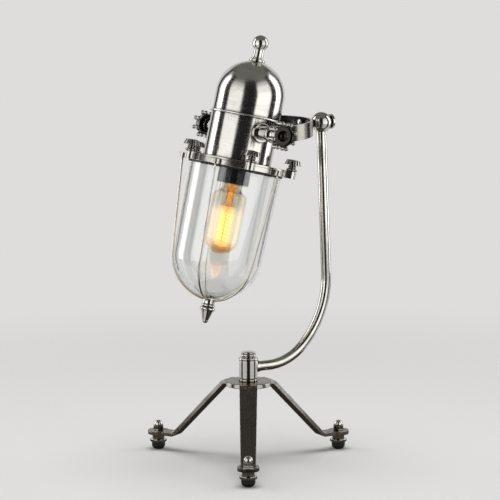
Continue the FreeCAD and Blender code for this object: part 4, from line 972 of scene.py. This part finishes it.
@dataclass(frozen=True)
class Bulb:
    """The bulb in its holder: amber glass, glass stem and the lit filament.

    Attributes:
        coil_radius: the radius of the spiral's centre line.
        wire_radius: the filament's radius.
        pitch: how far each turn falls.
        last_pitch: how far the last one falls.
        turns: how many turns come before the last.
        steps: points in a turn.
        top: the height of the spiral's start.
        lead_radius: the radius of a lead wire.
        lead_out: how far from the axis a lead wire runs down.
        lead_top: the height where it comes out of the bulb's base.
        lead_end: the height where it meets the spiral's width.
    """

    coil_radius: float = 8.3 * MM
    wire_radius: float = 0.6 * MM
    pitch: float = 4.9 * MM
    last_pitch: float = 1.9 * MM
    turns: int = 10
    steps: int = 40
    top: float = -101.65 * MM
    lead_radius: float = 0.35 * MM
    lead_out: float = 4.4 * MM
    lead_top: float = -73 * MM
    lead_end: float = -99.3 * MM

    def dress(self) -> None:
        """Holder of black resin, brass base, amber glass."""
        # Deep black with sharp grey reflections.
        PhenolicResin("Polished black phenolic resin").dress("bulb_holder")
        # A warm ring with soft highlights.
        Metal("Rolled brass of the bulb's base", "#c8a25a", BRASS_DIM, HEAD, Grain.TURNED,
              roughness=0.2).dress("bulb_base")
        # Faint cream, amber at the outline and the tip, with the filament's light painted into it as a
        # glow.
        Glass("Blown amber glass", tint="#fffaf0", tint_patch="#fff3dc", tint_edge="#c98f4a",
              wave=10 * MM, film=0.0, tip_tint="#f8cf92", tip=(-143 * MM, -157 * MM),
              glow="#fff0c4", painted_glow_strength=0.13,
              painted_glow_range=(-95 * MM, -163 * MM)).dress("bulb_glass")
        # Thick orange glass with a painted glow from the filament below it.
        Glass("Pressed amber glass", tint="#ffe4b4", tint_patch="#ffcc7a", tint_edge="#f0a040",
              wave=4 * MM, wave_depth=0.1 * MM, roughness=0.05, glow="#ffb32e",
              painted_glow_strength=0.3, painted_glow_range=(-60 * MM, -104 * MM)).dress("bulb_stem")

    def coil(self) -> None:
        """The lit spiral.

        The path goes round the head's axis at the coil's radius and falls by one pitch each turn,
        and by the smaller last pitch on the last one.
        """
        turn = np.linspace(0, self.turns + 1, self.steps * (self.turns + 1) + 1)
        steady = np.minimum(turn, self.turns)
        height = self.top - steady * self.pitch - (turn - steady) * self.last_pitch
        angle = 2 * np.pi * turn
        local = np.stack([self.coil_radius * np.cos(angle), self.coil_radius * np.sin(angle),
                          height], -1)
        x, y, _ = HEAD.sides()
        side = np.outer(np.cos(angle), x) + np.outer(np.sin(angle), y)
        rings = wire_rings(HEAD.carry(local), self.wire_radius, side, sides=12)
        piece = make_piece("filament_coil", rings, "head",
                           GlowingWire("Glowing carbon filament"))
        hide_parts("filament")

    def leads(self) -> None:
        """The two lead wires down the stem.

        Each falls evenly. Its distance from the axis grows with the fourth power of the way, so
        that it runs straight at first and then bends out to the coil's width.
        """
        # A thin warm line on each side of the stem.
        copper = Metal("Drawn copper wire", "#c47a4a", "#4a2c1a", HEAD, roughness=0.25)
        share = np.linspace(0, 1, 24)
        radius = self.lead_out + (self.coil_radius - self.lead_out) * share ** 4
        height = self.lead_top + (self.lead_end - self.lead_top) * share
        for number, way in ((1, 1), (2, -1)):
            local = np.stack([way * radius, np.zeros_like(share), height], -1)
            rings = wire_rings(HEAD.carry(local), self.lead_radius, HEAD.sides()[1], sides=10)
            make_piece(f"lead_wire_{number}", rings, "head", copper)


@dataclass(frozen=True)
class Clamps:
    """The pivot bosses and handwheels at the yoke and the thumb screws on the flange."""

    screws: int = 5

    def dress(self) -> None:
        """Buffed nickel with painted shade in its grooves."""
        # Bright rings with painted shade in the steps between them.
        bar = Metal("Turned nickel of the pivots", NICKEL, "#3a3733", CROSSBAR, Grain.TURNED,
                    roughness=0.11, stretch=0.2, corner=3.5 * MM)
        # Bright knobs round a dark dish.
        wheel = Metal("Nickel handwheel with a dark dish", "#b5b2ad", "#34312e", CROSSBAR,
                      Grain.TURNED, roughness=0.14, corner=1.2 * MM, dark_field=13.4 * MM, stain=0.1)
        for side in ("near", "far"):
            bar.dress(f"pivot_boss_{side}", f"pivot_stud_{side}", f"pivot_washer_{side}")
            wheel.dress(f"handwheel_{side}")
        # Flutes painted black with shade, between edges with a painted highlight.
        Metal("Buffed nickel of the thumb screws", "#a19e99", "#1c1a18", HEAD, corner=2.2 * MM,
              hollow=(0.55, 1.0), stain=0.1, edge=0.5 * MM, bright_edge=1.0).dress(
                  *[f"thumb_screw_{number}" for number in range(1, self.screws + 1)])


@dataclass(frozen=True)
class Studio:
    """A pale floor and background, soft boxes, strips, dark cards for the metal, and the camera.

    Bearings are in degrees to the right of the camera, as the lamp sees it, and widths are the
    degrees that a thing covers for it. All lengths are in metres.

    Attributes:
        pale: the colour of the floor and of the background.
        dim: the brightness of the background for what it lights.
        floor_radius: the radius of the floor.
        camera_place: where the camera stands.
        camera_yaw: how far it is turned, in degrees.
        camera_pitch: how far it looks down, in degrees.
        lens: its focal length in millimetres.
        front: the direction from the lamp to the camera, in degrees from x towards y.
        box_distance: from the lamp to a soft box.
        card_distance: from the lamp to a card.
        card_height: from the floor to a card's upper edge.
        lift: how far a card is above the floor.
        near_radius: the radius of the warm card under the lamp.
        near_hole: the radius of the hole in its middle, where its sectors meet.
    """

    pale: str = "#dedddb"
    dim: float = 0.2
    floor_radius: float = 6.0
    camera_place: Point = (-1.4837, -2.5290, 0.7010)
    camera_yaw: float = -30.0
    camera_pitch: float = 8.16
    lens: float = 162.0
    front: float = 240.0
    box_distance: float = 1.7
    card_distance: float = 0.8
    card_height: float = 1.5
    lift: float = MM
    near_radius: float = 0.28
    near_hole: float = MM

    def camera(self) -> None:
        """The photograph's camera: a long lens from the front left, a little above the lamp."""
        data = bpy.data.cameras.new("camera")
        data.lens = self.lens
        camera = add_object("camera", data)
        camera.location = self.camera_place
        camera.rotation_euler = (math.radians(90 - self.camera_pitch), 0, math.radians(self.camera_yaw))
        bpy.context.scene.camera = camera

    def way(self, bearing: float | np.ndarray) -> np.ndarray:
        """The direction from the lamp at a bearing, or at each of several."""
        angle = np.radians(self.front + bearing)
        return np.stack([np.cos(angle), np.sin(angle), np.zeros_like(angle)], -1)

    def soft_box(self, name: str, bearing: float, width: float, low: float, high: float,
                 strength: float) -> None:
        """Hangs an upright soft box that faces the lamp.

        Args:
            name: its name.
            bearing: where it hangs.
            width: how wide it is.
            low: the height of its lower edge.
            high: the height of its upper edge.
            strength: its brightness. Its power is this times pi times its area.
        """
        size = 2 * self.box_distance * math.tan(math.radians(width / 2))
        data = bpy.data.lights.new(name, "AREA")
        data.shape = "RECTANGLE"
        data.size, data.size_y = size, high - low
        data.energy = strength * math.pi * size * (high - low)
        light = add_object(name, data)
        x, y, _ = self.way(bearing) * self.box_distance
        light.location = (x, y, (low + high) / 2)
        light.rotation_euler = (math.pi / 2, 0, math.radians(self.front + bearing + 90))
        light.visible_camera = False
        light.visible_transmission = False

    def top_light(self) -> None:
        """A round soft light overhead that reflections don't show."""
        data = bpy.data.lights.new("top_light", "AREA")
        data.shape, data.size, data.energy = "DISK", 1.6, 30
        light = add_object("top_light", data)
        light.location = (0, 0, 2.2)
        light.visible_camera = light.visible_glossy = light.visible_transmission = False

    def stage(self, name: str, points: np.ndarray, faces: list[tuple[int, ...]],
              finish: Finish) -> bpy.types.Object:
        """Makes a flat piece of the studio.

        Args:
            name: its name.
            points: its corners.
            faces: the numbers of each face's corners.
            finish: its finish.

        Returns:
            The new object.
        """
        mesh = bpy.data.meshes.new(name)
        mesh.from_pydata(points, [], faces)
        mesh.materials.append(finish.material())
        piece = add_object(name, mesh)
        return piece

    def card(self, name: str, points: np.ndarray, faces: list[tuple[int, ...]], finish: Finish,
             through: bool = False) -> None:
        """Makes a card that only reflections see: it gives polished metal its dark bands.

        Args:
            name: its name.
            points: its corners.
            faces: the numbers of each face's corners.
            finish: its finish.
            through: whether reflections that are seen through glass show it too.
        """
        card = self.stage(name, points, faces, finish)
        for ray in ("camera", "diffuse", "transmission", "shadow", "volume_scatter"):
            setattr(card, f"visible_{ray}", through and ray == "transmission")

    def upright_card(self, name: str, bearing: float, width: float, through: bool = False) -> None:
        """Stands a dark card on the floor, facing the lamp.

        Args:
            name: its name.
            bearing: where it stands.
            width: how wide it is.
            through: whether reflections that are seen through glass show it too.
        """
        middle = self.way(bearing) * self.card_distance
        across = self.way(bearing + 90) * self.card_distance * math.tan(math.radians(width / 2))
        points = np.array([middle + side * across + (0, 0, height)
                           for height in (2 * self.lift, self.card_height) for side in (-1, 1)])
        self.card(name, points, [(0, 1, 3, 2)], Card("Black studio card", "#262626"), through)

    def floor_card(self, name: str, bearing: float, width: float, near: float, far: float,
                   colour: str) -> None:
        """Lays a card on the floor, a sector of a ring round the lamp.

        Args:
            name: its name.
            bearing: the bearing of its middle.
            width: how wide it is.
            near: its inner radius.
            far: its outer radius.
            colour: its colour.
        """
        steps = 24
        ways = self.way(bearing + width * np.linspace(-0.5, 0.5, steps + 1))
        points = np.concatenate([ways * near, ways * far]) + (0, 0, self.lift)
        faces = [(k, k + 1, k + steps + 2, k + steps + 1) for k in range(steps)]
        self.card(name, points, faces, Card(f"Floor card {colour[1:]}", colour))

    def disc(self, radius: float, height: float, sides: int) -> tuple[np.ndarray, list[tuple[int, ...]]]:
        """A level disc round the lamp: its points and its one face."""
        points = self.way(np.linspace(0, 360, sides, endpoint=False)) * radius + (0, 0, height)
        return points, [tuple(range(sides))]

    def background(self) -> None:
        """A pale world for the camera, for reflections and for glass, and a dimmer one for light."""
        world = bpy.data.worlds.new("studio")
        bpy.context.scene.world = world
        world.use_nodes = True
        tree = world.node_tree
        tree.nodes.clear()
        rays = add_node(tree, "LightPath").outputs
        seen = add_node(tree, "Math", {0: rays["Is Camera Ray"], 1: rays["Is Glossy Ray"]},
                        operation="MAXIMUM")
        shown = add_node(tree, "Math", {0: seen, 1: rays["Is Transmission Ray"]},
                         operation="MAXIMUM")
        colour = add_node(tree, "Mix", {"Factor": shown, "A": (self.dim, self.dim, self.dim, 1),
                                        "B": linear(self.pale)}, data_type="RGBA")
        back = add_node(tree, "Background", {"Color": colour, "Strength": 1.0})
        add_node(tree, "OutputWorld", {"Surface": back})

    def build(self) -> None:
        """Sets up everything round the lamp."""
        self.camera()
        self.background()
        self.stage("floor", *self.disc(self.floor_radius, 0, sides=96),
                   PaleFloor("Pale studio floor", self.pale))
        for side, name in ((-1, "left"), (1, "right")):
            self.soft_box(f"low_box_{name}", side * 49, width=48, low=0.02, high=0.8, strength=0.98)
            self.soft_box(f"high_box_{name}", side * 49, width=48, low=0.8, high=2.1, strength=0.55)
            self.soft_box(f"strip_{name}", side * 107, width=24, low=0.02, high=2.1, strength=2.1)
            self.upright_card(f"side_card_{name}", side * 84, width=22, through=True)
            self.upright_card(f"rear_card_{name}", side * 133, width=14)
            self.floor_card(f"side_ground_{name}", side * 84, width=22, near=self.near_radius,
                            far=self.card_distance, colour="#2c2b2a")
        self.upright_card("front_card", 0, width=44, through=True)
        self.floor_card("front_ground", 0, width=40, near=self.near_radius,
                        far=self.card_distance, colour="#242322")
        self.floor_card("near_ground", 0, width=360, near=self.near_hole, far=self.near_radius,
                        colour="#4a433b")
        self.card("ceiling_card", *self.disc(3.0, 2.35, sides=48),
                  Card("Grey ceiling card", "#777671"))
        self.top_light()
        bpy.context.scene.view_settings.view_transform = "Standard"


def main() -> None:
    """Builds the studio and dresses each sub-assembly."""
    logging.basicConfig(level=logging.INFO, format="%(message)s")
    Studio().build()
    Base().dress()
    Arm().dress()
    Yoke().dress()
    Head().dress()
    Clamps().dress()
    bulb = Bulb()
    bulb.dress()
    bulb.coil()
    bulb.leads()


if __name__ == "__main__":
    main()
